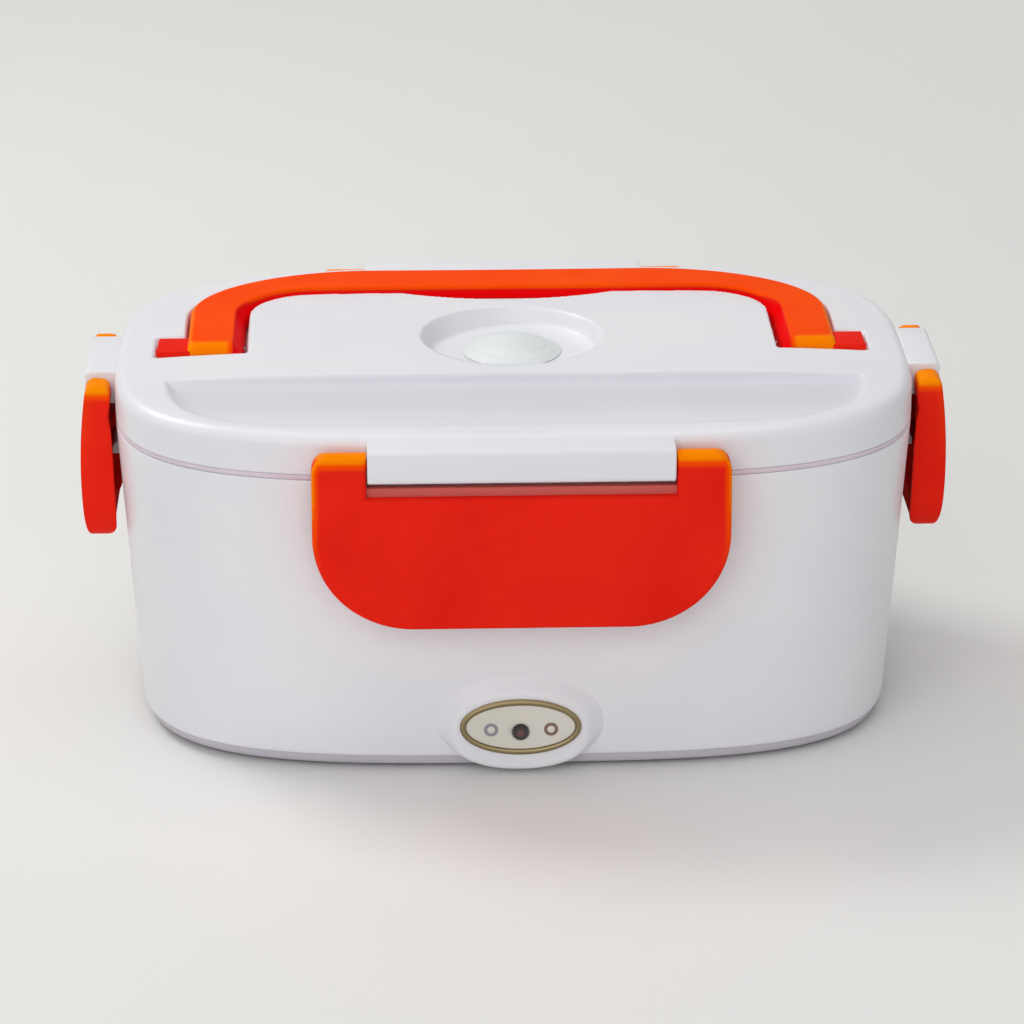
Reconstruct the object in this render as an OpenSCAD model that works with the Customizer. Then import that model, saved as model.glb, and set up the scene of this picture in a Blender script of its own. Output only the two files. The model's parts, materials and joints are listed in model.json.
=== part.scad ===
// Electric lunch box: a tapered tub with a heated floor, a lift-out food container and a lid
// held by four swinging latches. Millimetres, +Z up, front towards -Y, origin on the table
// under the middle of the box.

/* [Tub] */
// Length of the tub at its rim, left to right
body_l = 217; // [200:1:240]
// Width of the tub at its rim, front to back
body_w = 145; // [132:1:170]
// Height of the tub's rim above the table
rim_z = 85; // [78:1:100]
// Squareness of the outline: 2 is an ellipse, higher is squarer
squareness = 3.4; // [3:0.1:4]
// Draft of the walls, mm inwards for each mm down
draft = 0.064; // [0.04:0.002:0.08]
// Wall of the outer shell
shell_wall = 2.2; // [1.8:0.1:2.6]
// Radius of the rounding above the shell's lower edge
foot_round = 8; // [7:0.5:10]
// Height of the shell's lower edge above the table
shell_z = 4; // [3.5:0.1:5]

/* [Cavity and container] */
// Width of the tub's flat rim, from the outside to the mouth
rim_w = 5.3; // [4.9:0.1:6.5]
// Wall of the cavity liner
liner_wall = 1.8; // [1.4:0.1:2.2]
// Depth of the container's ledge below the rim
ledge_drop = 5; // [4.5:0.1:6.5]
// Width of the ledge that carries the container's flange
ledge_w = 3.7; // [3:0.1:4.5]
// Height of the cavity's floor above the table
floor_z = 17; // [16.5:0.1:20]
// Wall of the food container
container_wall = 1.6; // [1.2:0.1:2]
// Thickness of the container's flange
flange_t = 2; // [1.6:0.1:2.2]
// Gap all round between the container and the cavity
container_gap = 1; // [0.8:0.1:1.4]

/* [Lid] */
// Thickness of the seal where it shows in the seam
seam_t = 1; // [0.8:0.1:1.6]
// Height of the lid's upright skirt
skirt_h = 7.7; // [7:0.1:10]
// Radius of the lid's shoulder
shoulder_r = 3.5; // [3:0.1:4]
// Rise of the lid's top from the shoulder to the middle
crown = 2.1; // [1.8:0.1:3]
// Wall of the lid
lid_wall = 2.2; // [1.8:0.1:2.4]
// Radius of the round vent recess
recess_r = 25; // [22:0.5:26]
// Depth of the vent recess
recess_depth = 4.8; // [4:0.1:5.2]
// Radius of the vent plug's dome
plug_r = 13.7; // [12:0.1:15]
// Height of the vent plug's dome
plug_h = 4.4; // [3.4:0.1:4.6]
// Radius of the vent plug's stem
stem_r = 3.9; // [3:0.1:4.5]
// Distance from the middle to the straight edge of the front recess
front_step_y = 27.5; // [27:0.5:32]
// Depth of the front recess below the middle of the lid
front_step = 4; // [3:0.1:4.2]

/* [Handle] */
// Width of the handle across its legs
handle_l = 178; // [170:1:182]
// Width of each leg
leg_w = 15.5; // [13:0.5:17]
// Distance from the pivot to the grip's outer edge
handle_reach = 60.5; // [54:0.5:62]
// Width of the grip
grip_w = 17; // [15:0.2:18]
// Thickness of the handle
handle_t = 7.4; // [6.6:0.1:7.6]
// Radius of the handle's pivot pins
handle_pin_r = 2.4; // [2:0.1:2.5]
// Width of the finger scoop in front of the grip
scoop_w = 60; // [50:1:64]
// Reach of the finger scoop in front of the grip
scoop_reach = 7.2; // [6.5:0.1:8]

/* [Latches] */
// Length of the front and rear hinge bars
wide_bar_l = 80; // [70:1:84]
// Width of each ear of the front and rear latches
wide_ear_w = 14.2; // [11:0.1:15]
// Length of the two side hinge bars
side_bar_l = 30; // [26:1:34]
// Width of each ear of the side latches
side_ear_w = 9; // [7.5:0.1:10]
// Height of the hinge bars
bar_h = 9.2; // [8.6:0.1:9.6]
// How far the hinge bars stand out from the lid
bar_out = 8; // [7.6:0.1:8.4]
// Distance from the latch pivot down to the latch's lower edge
latch_drop = 45.4; // [40:0.2:48]
// Wall of the latches
latch_wall = 2.2; // [1.8:0.1:2.4]
// Radius of the latch pins
latch_pin_r = 1.4; // [1.2:0.1:1.6]
// How far the hook ribs stand out past the rim's outline
rib_out = 1.2; // [1:0.1:1.4]

/* [Front boss and inlet] */
// Width of the oval badge
badge_l = 32.4; // [28:0.2:34]
// Height of the oval badge
badge_h = 15.8; // [14:0.2:16.5]
// Height of the badge's middle above the table
badge_z = 14.6; // [14:0.1:15.4]
// How far the front and rear bosses stand inside the rim's outline
boss_in = 1; // [0.6:0.1:1.6]
// Radius of the lamp window
lamp_r = 2.2; // [1.8:0.1:2.6]
// Distance between the two inlet pins
pin_pitch = 8.6; // [8:0.1:9]
// Radius of the inlet pins
inlet_pin_r = 1.2; // [1:0.1:1.3]
// Depth of the inlet's well
inlet_depth = 13; // [12:0.5:14]

/* [Heater] */
// Length of the heating plate
plate_l = 124; // [118:1:130]
// Width of the heating plate
plate_w = 76; // [66:1:80]
// Thickness of the heating plate
plate_t = 1.2; // [1:0.1:1.5]
// Length of the heater block
heater_l = 56; // [48:1:60]
// Width of the heater block
heater_w = 22; // [20:1:26]
// Height of the heater block
heater_h = 6; // [5:0.1:6.2]
// Radius of a rubber foot
foot_r = 7; // [6:0.5:8]

/* [Hidden] */

$fn = 48;
fit = 0.08;         // running fit of a pin in its socket
seat = 0.3;         // gap under a piece that rests on another body
touch = 0.1;        // gap between neighbouring pieces of one body
eps = 1;            // how far a cut runs past the face that it opens
sides = 64;         // corners of a lofted ring

half_l = body_l / 2;
half_w = body_w / 2;
body_draft = function (z) draft * (rim_z - z);

// Heights of the lid's stack, from the tub's rim upwards
seam_z = rim_z + seat;
skirt_z = seam_z + seam_t;
shoulder_z = skirt_z + skirt_h;
brow_z = shoulder_z + shoulder_r;
top_z = brow_z + crown;

// ---- outlines and lofts ----

function sgnpow(v, p) = sign(v) * pow(abs(v), p);

// Corners of a superellipse with half sizes a and b
function oval(a, b, n = squareness, k = sides) =
    [for (i = [0:k - 1]) [a * sgnpow(cos(360 * i / k), 2 / n), b * sgnpow(sin(360 * i / k), 2 / n)]];

// Points of an arc from angle a0 to angle a1 with radii rx and ry
function arc(cx, cy, rx, ry, a0, a1, k = 8) =
    [for (i = [0:k]) let (a = a0 + (a1 - a0) * i / k) [cx + rx * cos(a), cy + ry * sin(a)]];

// Rectangle with rounded corners, centred
function round_box(l, h, r, k = 5) = concat(
    arc(l / 2 - r, h / 2 - r, r, r, 0, 90, k), arc(r - l / 2, h / 2 - r, r, r, 90, 180, k),
    arc(r - l / 2, r - h / 2, r, r, 180, 270, k), arc(l / 2 - r, r - h / 2, r, r, 270, 360, k));

// Solid through rings of the box's outline; each station is [inset, height], from the bottom up
module loft(stations) {
    rings = len(stations);
    points = [for (s = stations) for (p = oval(half_l - s[0], half_w - s[0])) [p[0], p[1], s[1]]];
    bottom = [for (i = [0:sides - 1]) i];
    top = [for (i = [sides - 1:-1:0]) (rings - 1) * sides + i];
    walls = [for (j = [0:rings - 2], i = [0:sides - 1])
        let (a = j * sides + i, b = j * sides + (i + 1) % sides)
        for (f = [[a, a + sides, b + sides], [a, b + sides, b]]) f];
    polyhedron(points = points, faces = concat([bottom, top], walls));
}

// Stands a drawing in the X-Z plane and gives it a depth along Y, from y0 to y1
module along_y(y0, y1) {
    translate([0, y1, 0]) rotate([90, 0, 0]) linear_extrude(height = y1 - y0) children();
}

// Stands a drawing in the Y-Z plane and gives it a length along X, centred
module along_x(length) {
    rotate([90, 0, 90]) translate([0, 0, -length / 2]) linear_extrude(height = length) children();
}

module both_x() {
    children();
    mirror([1, 0, 0]) children();
}

module corners(x, y) {
    for (sx = [-1, 1], sy = [-1, 1]) translate([sx * x, sy * y, 0]) children();
}

// ---- tub ----

foot_lift = 6.2;    // height of the foot rounding above the shell's lower edge

// Inset of the shell's outside at height z: the draft, and the rounding near the lower edge
function round_in(z) = let (d = max(0, shell_z + foot_lift - z))
    foot_round - sqrt(foot_round * foot_round - d * d);
function shell_in(z) = body_draft(z) + round_in(z);

shell_zs = [for (t = [0, 1.5, 3.5, foot_lift]) shell_z + t];
mouth_in = rim_w;
ledge_z = rim_z - ledge_drop;
cavity_in = mouth_in + ledge_w;
function cavity_wall_in(z) = cavity_in + draft * (ledge_z - z);
cavity_round = 4;

// Hook ribs: a bar with a flat underside that the latch hooks catch
rib_z = rim_z - 12.8;
rib_h = 3.6;
rib_root = 4;
rib_end_gap = 2;

module rib(length) {
    translate([0, -rib_out, rib_z]) along_x(length)
        polygon([[0, 0], [0, rib_h * 0.55], [1.3, rib_h], [rib_out + rib_root, rib_h], [rib_out + rib_root, 0]]);
}

// Places a piece drawn for the front on each side of the box, at distance d outside its outline
module at_front(d = 0) { translate([0, -half_w - d, 0]) children(); }
module at_rear(d = 0) { rotate([0, 0, 180]) at_front(d) children(); }
module at_right(d = 0) { translate([half_l + d, 0, 0]) rotate([0, 0, 90]) children(); }
module at_left(d = 0) { rotate([0, 0, 180]) at_right(d) children(); }

boss_rim = 3.4;     // white margin of the boss round the badge
boss_y = half_w - boss_in;
boss_l = badge_l + 2 * boss_rim;
boss_h = badge_h + 2 * boss_rim;
inlet_l = 17;
inlet_h = 8.8;
inlet_wall = 1;
inlet_z = 9.4;
inlet_boss_l = 30;
inlet_boss_h = 15.6;

// Screw posts in the corners of the shell
post_x = half_l - 30;
post_y = half_w - 30;
post_r = 4;
web_t = 2;
screw_r = 1.5;
post_top_z = floor_z - liner_wall - touch;
post_z = 5.6;

module outer_shell() {
    color("white") difference() {
        union() {
            difference() {
                loft(concat([for (z = shell_zs) [shell_in(z), z]], [[0, rim_z]]));
                loft(concat([[shell_in(shell_z) + shell_wall, shell_z - eps]],
                    [for (z = shell_zs) [shell_in(z) + shell_wall, z]],
                    [[shell_wall - draft * eps, rim_z + eps]]));
            }
            at_front() rib(wide_bar_l - rib_end_gap);
            at_rear() rib(wide_bar_l - rib_end_gap);
            at_left() rib(side_bar_l - rib_end_gap);
            at_right() rib(side_bar_l - rib_end_gap);
            intersection() {
                union() {
                    translate([0, 0, badge_z - 0.6]) along_y(-boss_y, -boss_y + 9)
                        polygon(oval(boss_l / 2, boss_h / 2, 2.2, 40));
                    translate([0, 0, inlet_z + 0.5]) along_y(boss_y - 9, boss_y)
                        polygon(round_box(inlet_boss_l, inlet_boss_h, 5));
                }
                boss_cutter();
            }
            corners(post_x, post_y) translate([0, 0, post_z]) cylinder(r = post_r, h = post_top_z - post_z);
            intersection() {
                for (s = [-1, 1]) translate([s * post_x - web_t / 2, -half_w, post_z])
                    cube([web_t, body_w, post_top_z - post_z]);
                difference() {
                    translate([-half_l, -half_w, 0]) cube([body_l, body_w, rim_z]);
                    translate([-half_l, -post_y, 0]) cube([body_l, 2 * post_y, rim_z]);
                }
                loft(concat([for (z = shell_zs) [shell_in(z) + 1, z]], [[1, rim_z]]));
            }
        }
        corners(post_x, post_y) translate([0, 0, post_z - eps]) cylinder(r = screw_r + fit, h = 9 + eps);
        translate([0, 0, lamp_z]) along_y(-boss_y - eps, -half_w + 12) circle(r = lamp_r + fit);
        translate([0, 0, inlet_z]) along_y(half_w - 12, boss_y + eps)
            polygon(round_box(inlet_l + 2 * inlet_wall + 2 * touch, inlet_h + 2 * inlet_wall + 2 * touch, 4.2));
        badge_pocket(touch);
    }
}

// Room in which the bosses may lie: outside the shell's inner face
module boss_cutter() {
    difference() {
        translate([-half_l, -half_w, 1.8]) cube([body_l, body_w, rim_z]);
        loft(concat([[shell_in(shell_z) + shell_wall - 0.4, 0]],
            [for (z = shell_zs) [shell_in(z) + shell_wall - 0.4, z]],
            [[shell_wall - 0.4, rim_z + eps]]));
    }
}

module cavity_liner() {
    floor_under = floor_z - liner_wall;
    rim_flange_t = 2;
    color("whitesmoke") difference() {
        union() {
            loft([[cavity_wall_in(floor_under) - liner_wall + 3.4, floor_under],
                [cavity_wall_in(floor_under) - liner_wall + 1.2, floor_under + 1.2],
                [cavity_wall_in(floor_under + cavity_round) - liner_wall, floor_under + cavity_round],
                [cavity_in - liner_wall, ledge_z - liner_wall],
                [mouth_in - liner_wall, ledge_z - liner_wall + 0.8],
                [mouth_in - liner_wall, rim_z]]);
            loft([[shell_wall + draft * rim_flange_t + touch, rim_z - rim_flange_t], [shell_wall + touch, rim_z]]);
        }
        loft([[cavity_wall_in(floor_z) + 3, floor_z],
            [cavity_wall_in(floor_z) + 1, floor_z + 1.2],
            [cavity_wall_in(floor_z + cavity_round), floor_z + cavity_round],
            [cavity_in, ledge_z],
            [cavity_in, rim_z + eps]]);
        loft([[mouth_in + draft * ledge_drop, ledge_z], [mouth_in, rim_z], [mouth_in, rim_z + eps]]);
        translate([0, 0, floor_under - eps]) linear_extrude(height = liner_wall + 2 * eps)
            polygon(round_box(plate_l - 2 * plate_lap, plate_w - 2 * plate_lap, plate_corner - plate_lap));
    }
}

// ---- heater ----

plate_corner = 20;
plate_lap = 6;      // how far the plate laps over the cavity's floor
plate_seal_t = 0.8;
plate_z = floor_z + plate_seal_t + 2 * touch;
stud_x = plate_l / 2 - 16;
stud_r = 2;
clamp_w = 16;
clamp_t = 1.2;
heater_z = plate_z - touch - heater_h;
clamp_z = heater_z - touch - clamp_t;
nut_h = 3.2;
nut_r = 3.6;
thermostat_r = 7;
thermostat_x = nut_r + thermostat_r + 2 - stud_x;
heater_x = thermostat_x + thermostat_r + 4 + heater_l / 2;
lug_l = 5;
lug_y = 6;
tab_l = 5;

module heating_plate() {
    color("silver") {
        translate([0, 0, plate_z]) linear_extrude(height = plate_t)
            polygon(round_box(plate_l, plate_w, plate_corner));
        both_x() translate([stud_x, 0, clamp_z - nut_h - 1]) cylinder(r = stud_r, h = plate_z - clamp_z + nut_h + 1.4);
    }
}

module plate_seal() {
    color("ivory") translate([0, 0, floor_z + touch]) linear_extrude(height = plate_seal_t) difference() {
        polygon(round_box(plate_l - 1, plate_w - 1, plate_corner - 0.5));
        polygon(round_box(plate_l - 2 * plate_lap + 1, plate_w - 2 * plate_lap + 1, plate_corner - plate_lap));
    }
}

module heater_element() {
    color("lightgray") translate([heater_x, 0, heater_z]) {
        translate([-heater_l / 2, -heater_w / 2, 0]) cube([heater_l, heater_w, heater_h]);
        for (y = [-lug_y, lug_y]) translate([heater_l / 2 - 0.5, y - 2, 2]) cube([lug_l + 0.5, 4, 0.8]);
    }
}

// The bridge bears on the floor's underside at both ends and lifts the heater against the plate
module heater_clamp() {
    end_x = plate_l / 2 + 4;
    foot_x = plate_l / 2 - plate_lap - 3;
    lift_z = floor_z - liner_wall - touch;
    color("gainsboro") difference() {
        translate([0, clamp_w / 2, 0]) rotate([90, 0, 0]) linear_extrude(height = clamp_w)
            polygon(concat(
                [[-end_x, lift_z - clamp_t], [-foot_x, lift_z - clamp_t], [-foot_x + 3, clamp_z]],
                [[foot_x - 3, clamp_z], [foot_x, lift_z - clamp_t], [end_x, lift_z - clamp_t]],
                [[end_x, lift_z], [foot_x - 0.6, lift_z], [foot_x - 3.6, clamp_z + clamp_t]],
                [[3.6 - foot_x, clamp_z + clamp_t], [0.6 - foot_x, lift_z], [-end_x, lift_z]]));
        both_x() translate([stud_x, 0, clamp_z - eps]) cylinder(r = stud_r + fit, h = clamp_t + 2 * eps);
    }
}

module clamp_nuts() {
    color("gray") both_x() translate([stud_x, 0, clamp_z - touch - nut_h]) difference() {
        cylinder(r = nut_r, h = nut_h, $fn = 6);
        translate([0, 0, -eps]) cylinder(r = stud_r + fit, h = nut_h + 2 * eps);
    }
}

module thermostat() {
    tab_z = heater_z + 1;
    color("dimgray") {
        translate([thermostat_x, 0, heater_z]) cylinder(r = thermostat_r, h = heater_h - 0.8);
        translate([thermostat_x, 0, plate_z - touch - 0.9]) cylinder(r = thermostat_r + 1, h = 0.9);
        translate([thermostat_x - 2, -thermostat_r - tab_l, tab_z]) cube([4, 2 * (thermostat_r + tab_l), 0.8]);
    }
}

fuse_x = -12;
fuse_y = 22;
fuse_l = 11;
fuse_r = 2;
fuse_z = plate_z - touch - fuse_r;

module thermal_fuse() {
    lead_r = 0.5;
    color("tan") {
        translate([fuse_x - fuse_l / 2, fuse_y, fuse_z]) rotate([0, 90, 0]) cylinder(r = fuse_r, h = fuse_l);
        translate([fuse_x - fuse_l / 2 - 3, fuse_y, fuse_z]) rotate([0, 90, 0]) cylinder(r = lead_r, h = fuse_l + 6);
    }
}

// ---- lamp, badge and inlet ----

lamp_z = badge_z - 1.4;
badge_t = 1.2;
badge_sink = 0.6;   // how deep the badge lies in the boss
ring_w = 1.5;
badge_y = boss_y + badge_t - badge_sink;
board_y = half_w - 13.2;
board_t = 1.2;

module badge_pocket(gap) {
    translate([0, 0, badge_z]) along_y(-boss_y - eps, -boss_y + badge_sink)
        polygon(oval(badge_l / 2 + gap, badge_h / 2 + gap, 2, 48));
}

module badge_ring() {
    color("darkkhaki") translate([0, 0, badge_z]) along_y(-badge_y - 0.3, -boss_y + badge_sink) difference() {
        polygon(oval(badge_l / 2, badge_h / 2, 2, 48));
        polygon(oval(badge_l / 2 - ring_w, badge_h / 2 - ring_w, 2, 48));
    }
}

module panel_badge() {
    mark_x = 7.6;
    mark_r = 1.5;
    color("tan") difference() {
        union() {
            translate([0, 0, badge_z]) along_y(-badge_y, -boss_y + badge_sink)
                polygon(oval(badge_l / 2 - ring_w - touch, badge_h / 2 - ring_w - touch, 2, 48));
            both_x() translate([mark_x, 0, lamp_z]) along_y(-badge_y - 0.2, -badge_y + 0.2) difference() {
                circle(r = mark_r);
                circle(r = mark_r - 0.4);
            }
        }
        translate([0, 0, lamp_z]) along_y(-badge_y - eps, -boss_y + eps) circle(r = lamp_r + fit);
    }
}

module lamp_lens() {
    back_y = board_y + board_t + led_l + touch;
    color("black") translate([0, -back_y, lamp_z]) rotate([90, 0, 0]) {
        cylinder(r = lamp_r, h = badge_y - back_y + 0.1);
        translate([0, 0, badge_y - back_y + 0.1 - 0.4]) intersection() {
            sphere(r = lamp_r);
            translate([0, 0, 0.01]) cylinder(r = lamp_r, h = 1.1);
        }
    }
}

led_l = 5;

module indicator_led() {
    led_r = 1.5;
    color("red") translate([0, -board_y - board_t - touch, lamp_z]) rotate([90, 0, 0]) {
        cylinder(r = led_r + 0.4, h = 0.8);
        cylinder(r = led_r, h = led_l - led_r - touch);
        translate([0, 0, led_l - led_r - touch]) intersection() {
            sphere(r = led_r);
            cylinder(r = led_r, h = led_r);
        }
    }
}

module led_board() {
    board_l = 24;
    board_h = 9;
    color("seagreen") translate([-board_l / 2, -board_y - board_t, lamp_z + 1.6 - board_h]) cube([board_l, board_t, board_h]);
    color("black") translate([5, -board_y, lamp_z - 4]) cube([4, 1.4, 2]);
}

inlet_y = boss_y;
well_end_y = inlet_y - inlet_depth;

module inlet_socket() {
    color("black") translate([0, 0, inlet_z]) difference() {
        union() {
            along_y(well_end_y - 2, inlet_y) polygon(round_box(inlet_l + 2 * inlet_wall, inlet_h + 2 * inlet_wall, 4.1));
            along_y(inlet_y + touch, inlet_y + 1) polygon(round_box(inlet_l + 5, inlet_h + 4.4, 4.6));
            along_y(inlet_y - eps, inlet_y + eps) polygon(round_box(inlet_l + 2 * inlet_wall, inlet_h + 2 * inlet_wall, 4.1));
        }
        along_y(well_end_y, inlet_y + 2) polygon(round_box(inlet_l, inlet_h, 4.4));
        both_x() translate([pin_pitch / 2, 0, 0]) along_y(well_end_y - 3, well_end_y + eps) circle(r = pin_tail_r + fit);
    }
}

pin_tail_r = inlet_pin_r - 0.3;
pin_tail_l = 7;
pin_tail_y = well_end_y - pin_tail_l;
pin_tip_in = 2;     // how far the pins end inside the well's mouth

module inlet_pins() {
    shaft_l = inlet_depth - pin_tip_in - inlet_pin_r - touch;
    color("goldenrod") both_x() translate([pin_pitch / 2, well_end_y + touch, inlet_z]) rotate([-90, 0, 0]) {
        cylinder(r = inlet_pin_r, h = shaft_l);
        translate([0, 0, shaft_l]) sphere(r = inlet_pin_r);
        translate([0, 0, -pin_tail_l - touch]) cylinder(r = pin_tail_r, h = pin_tail_l + eps);
    }
}

// ---- leads inside the base ----

lead_r = 0.9;
lead_sides = 8;
lead_gap = 0.4;     // gap between the end of a lead and its terminal

function unit(v) = v / norm(v);
function tangent(path, i) = unit(path[min(i + 1, len(path) - 1)] - path[max(i - 1, 0)]);
function lead_ring(c, t) = let (s = unit(cross(t, [0, 0, 1])), u = cross(s, t))
    [for (k = [0:lead_sides - 1]) let (a = 360 * k / lead_sides) c + lead_r * (cos(a) * s + sin(a) * u)];

// Round lead along a route of points
module lead(path) {
    n = len(path);
    points = [for (i = [0:n - 1]) for (p = lead_ring(path[i], tangent(path, i))) p];
    walls = [for (i = [0:n - 2], k = [0:lead_sides - 1])
        let (a = i * lead_sides + k, b = i * lead_sides + (k + 1) % lead_sides)
        for (f = [[a, b, b + lead_sides], [a, b + lead_sides, a + lead_sides]]) f];
    polyhedron(points = points, faces = concat([[for (k = [lead_sides - 1:-1:0]) k],
        [for (k = [0:lead_sides - 1]) (n - 1) * lead_sides + k]], walls));
}

// Smooth route through hand-set points
function spline(p, i, t) = let (n = len(p), a = p[max(i - 1, 0)], b = p[i], c = p[i + 1], d = p[min(i + 2, n - 1)])
    0.5 * (2 * b + (c - a) * t + (2 * a - 5 * b + 4 * c - d) * t * t + (3 * b - a - 3 * c + d) * t * t * t);
function route(p, k = 3) = concat([for (i = [0:len(p) - 2], j = [0:k - 1]) spline(p, i, j / k)], [p[len(p) - 1]]);

tab_y = thermostat_r + tab_l + lead_gap;
lead_z = heater_z + 1.4;

module live_lead() {
    color("brown") lead(route([[-pin_pitch / 2, pin_tail_y - lead_gap, inlet_z], [-pin_pitch / 2, pin_tail_y - 6, inlet_z],
        [-2, 37, 10], [0, 30, 12], [0, 24, fuse_z - 1], [fuse_x + fuse_l / 2 + 7, fuse_y, fuse_z],
        [fuse_x + fuse_l / 2 + 3 + lead_gap, fuse_y, fuse_z]]));
}

module fuse_lead() {
    color("brown") lead(route([[fuse_x - fuse_l / 2 - 3 - lead_gap, fuse_y, fuse_z], [fuse_x - fuse_l / 2 - 7, fuse_y, fuse_z],
        [thermostat_x + 2, 21, 14], [thermostat_x, 16.5, lead_z], [thermostat_x, tab_y, lead_z]]));
}

module neutral_lead() {
    end_x = heater_x + heater_l / 2 + lug_l + lead_gap;
    color("steelblue") lead(route([[pin_pitch / 2, pin_tail_y - lead_gap, inlet_z], [pin_pitch / 2, pin_tail_y - 6, inlet_z],
        [22, 37, 8], [36, 26, 8], [end_x + 6, 14, 9], [end_x + 6, 9, heater_z + 1], [end_x + 3, lug_y, heater_z + 2.4],
        [end_x, lug_y, heater_z + 2.4]]));
}

module lamp_leads() {
    start_z = lamp_z - 5.5;
    color("dimgray") for (s = [-1, 1]) lead(route([[s * 7, lead_gap - board_y, start_z],
        [s * 7, 6 - board_y, start_z - 0.5], [s * 12, -42, 6.4], [s * 20, -26, 6.8], [s * 22, -16, heater_z - 3.5]]));
}

// ---- base cover, screws and feet ----

cover_t = 2;
cover_z = 1.4;
cover_in = shell_in(shell_z) + shell_wall + 0.4;
screw_seat = 1.2;
foot_x = half_l - 50;
foot_y = half_w - 34;
foot_h = cover_z + 0.8;

module base_cover() {
    color("lavender") difference() {
        union() {
            loft([[cover_in + 1.6, cover_z], [cover_in + 0.3, cover_z + 1.2], [cover_in, shell_z + 1.2]]);
            corners(post_x, post_y) translate([0, 0, cover_z + 1]) cylinder(r = post_r, h = post_z - touch - cover_z - 1);
        }
        difference() {
            loft([[cover_in + 2.6, cover_z + cover_t], [cover_in + 1.8, shell_z + 1.2 + eps]]);
            corners(post_x, post_y) cylinder(r = post_r, h = post_z);
        }
        corners(post_x, post_y) {
            translate([0, 0, cover_z - eps]) cylinder(r = screw_r + 0.2, h = post_z + eps);
            translate([0, 0, cover_z - eps]) cylinder(r = 3.4, h = screw_seat + eps);
        }
        corners(foot_x, foot_y) translate([0, 0, cover_z - eps]) cylinder(r = foot_r + touch, h = 0.8 + eps);
        translate([0, 0, inlet_z]) along_y(well_end_y - 3, half_w)
            polygon(round_box(inlet_l + 2 * inlet_wall + 1, inlet_h + 2 * inlet_wall + 1, 4.6));
    }
}

module base_screws() {
    head_r = 3;
    color("dimgray") corners(post_x, post_y) translate([0, 0, cover_z + 0.1]) {
        cylinder(r = head_r, h = screw_seat - 0.2);
        cylinder(r = screw_r, h = 10);
    }
}

module rubber_feet() {
    color("dimgray") corners(foot_x, foot_y) {
        translate([0, 0, 0.5]) cylinder(r = foot_r, h = foot_h - 0.5 - touch);
        cylinder(r1 = foot_r - 0.6, r2 = foot_r, h = 0.5, $fn = 48);
    }
}

// ---- food container ----

container_in = cavity_in + container_gap;
container_floor_z = plate_z + plate_t + seat;

module food_container() {
    top = ledge_z + seat;
    corner = 6;
    function wall_in(z) = container_in + draft * (ledge_z - z);
    color("white") difference() {
        union() {
            loft([[wall_in(container_floor_z) + 4, container_floor_z],
                [wall_in(container_floor_z) + 1.4, container_floor_z + 1.8],
                [wall_in(container_floor_z + corner), container_floor_z + corner],
                [container_in, top + 0.6]]);
            loft([[mouth_in + draft * ledge_drop + 0.4, top], [mouth_in + draft * ledge_drop + 0.4, top + flange_t]]);
        }
        loft([[wall_in(container_floor_z) + 4 + container_wall, container_floor_z + container_wall],
            [wall_in(container_floor_z) + 1.8 + container_wall, container_floor_z + container_wall + 1.4],
            [wall_in(container_floor_z + corner) + container_wall, container_floor_z + corner + 0.5],
            [container_in + container_wall, top + flange_t + eps]]);
    }
}

// ---- lid ----

groove_in = lid_wall + 0.2;
lid_mid_y = 3;         // middle of the vent recess
pivot_z = top_z - 4.9;          // height of the handle's pivot
handle_low_z = pivot_z - 1.9;
leg_front = 6.4;                // how far a leg reaches in front of its pivot
channel_z = handle_low_z - seat;
side_gap = 1.2;                 // gap between the handle and the walls of its channel
slot_front = 9.2;
slot_rear = 8.5;
slot_end_x = handle_l / 2 + 8.5;
slot_in_x = handle_l / 2 - leg_w - side_gap;
slot_z = pivot_z - 7.3;
pocket_wall = 1.5;
socket_depth = 3.4;
handle_corner = [50, handle_reach - 24.5];
grip_corner = 19;

// The curve of the lid's top, from the shoulder to the middle
function lid_top(inset, drop) = brow_z - drop + crown * (1 - pow(1 - min(1, inset / 60), 2));
lid_insets = [8, 20, 38, 60];

// Plan of the handle, grown or shrunk by g; its front ends at y0
function handle_side(hw, rear, cx, cy, y0) = concat([[hw, y0]], arc(hw - cx, rear - cy, cx, cy, 0, 90, 10));
function mirrored(p) = [for (i = [len(p) - 1:-1:0]) [-p[i][0], p[i][1]]];

module handle_plan(g, y0) {
    outer = handle_side(handle_l / 2 + g, handle_reach + g, handle_corner[0] + g, handle_corner[1] + g, y0);
    inner = handle_side(handle_l / 2 - leg_w - g, handle_reach - grip_w - g, grip_corner - g, grip_corner - g, y0);
    difference() {
        polygon(concat(outer, mirrored(outer)));
        polygon(concat(inner, mirrored(inner), [[-inner[0][0], y0 - eps], [inner[0][0], y0 - eps]]));
    }
}

module slots(wall, low) {
    both_x() translate([slot_in_x - wall, -slot_front - wall, low])
        cube([slot_end_x - slot_in_x + 2 * wall, slot_front + slot_rear + 2 * wall, top_z]);
}

// Finger scoop: a slice of a wide cylinder in front of the grip
module scoop(wall, low) {
    edge_y = handle_reach - grip_w - side_gap;
    radius = (pow(scoop_w / 2, 2) + pow(scoop_reach, 2)) / (2 * scoop_reach);
    intersection() {
        translate([0, edge_y - scoop_reach + radius, low]) cylinder(r = radius + wall, h = top_z, $fn = 120);
        translate([-half_l, 0, low]) cube([body_l, edge_y + eps, top_z]);
    }
}

module front_recess(wall, low) {
    y0 = -front_step_y + wall;
    translate([0, 0, low]) linear_extrude(height = top_z) intersection() {
        polygon(oval(half_l - 14 + wall, half_w - 8 + wall, 5));
        translate([-half_l, -half_w]) square([body_l, half_w + y0]);
    }
}

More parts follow.
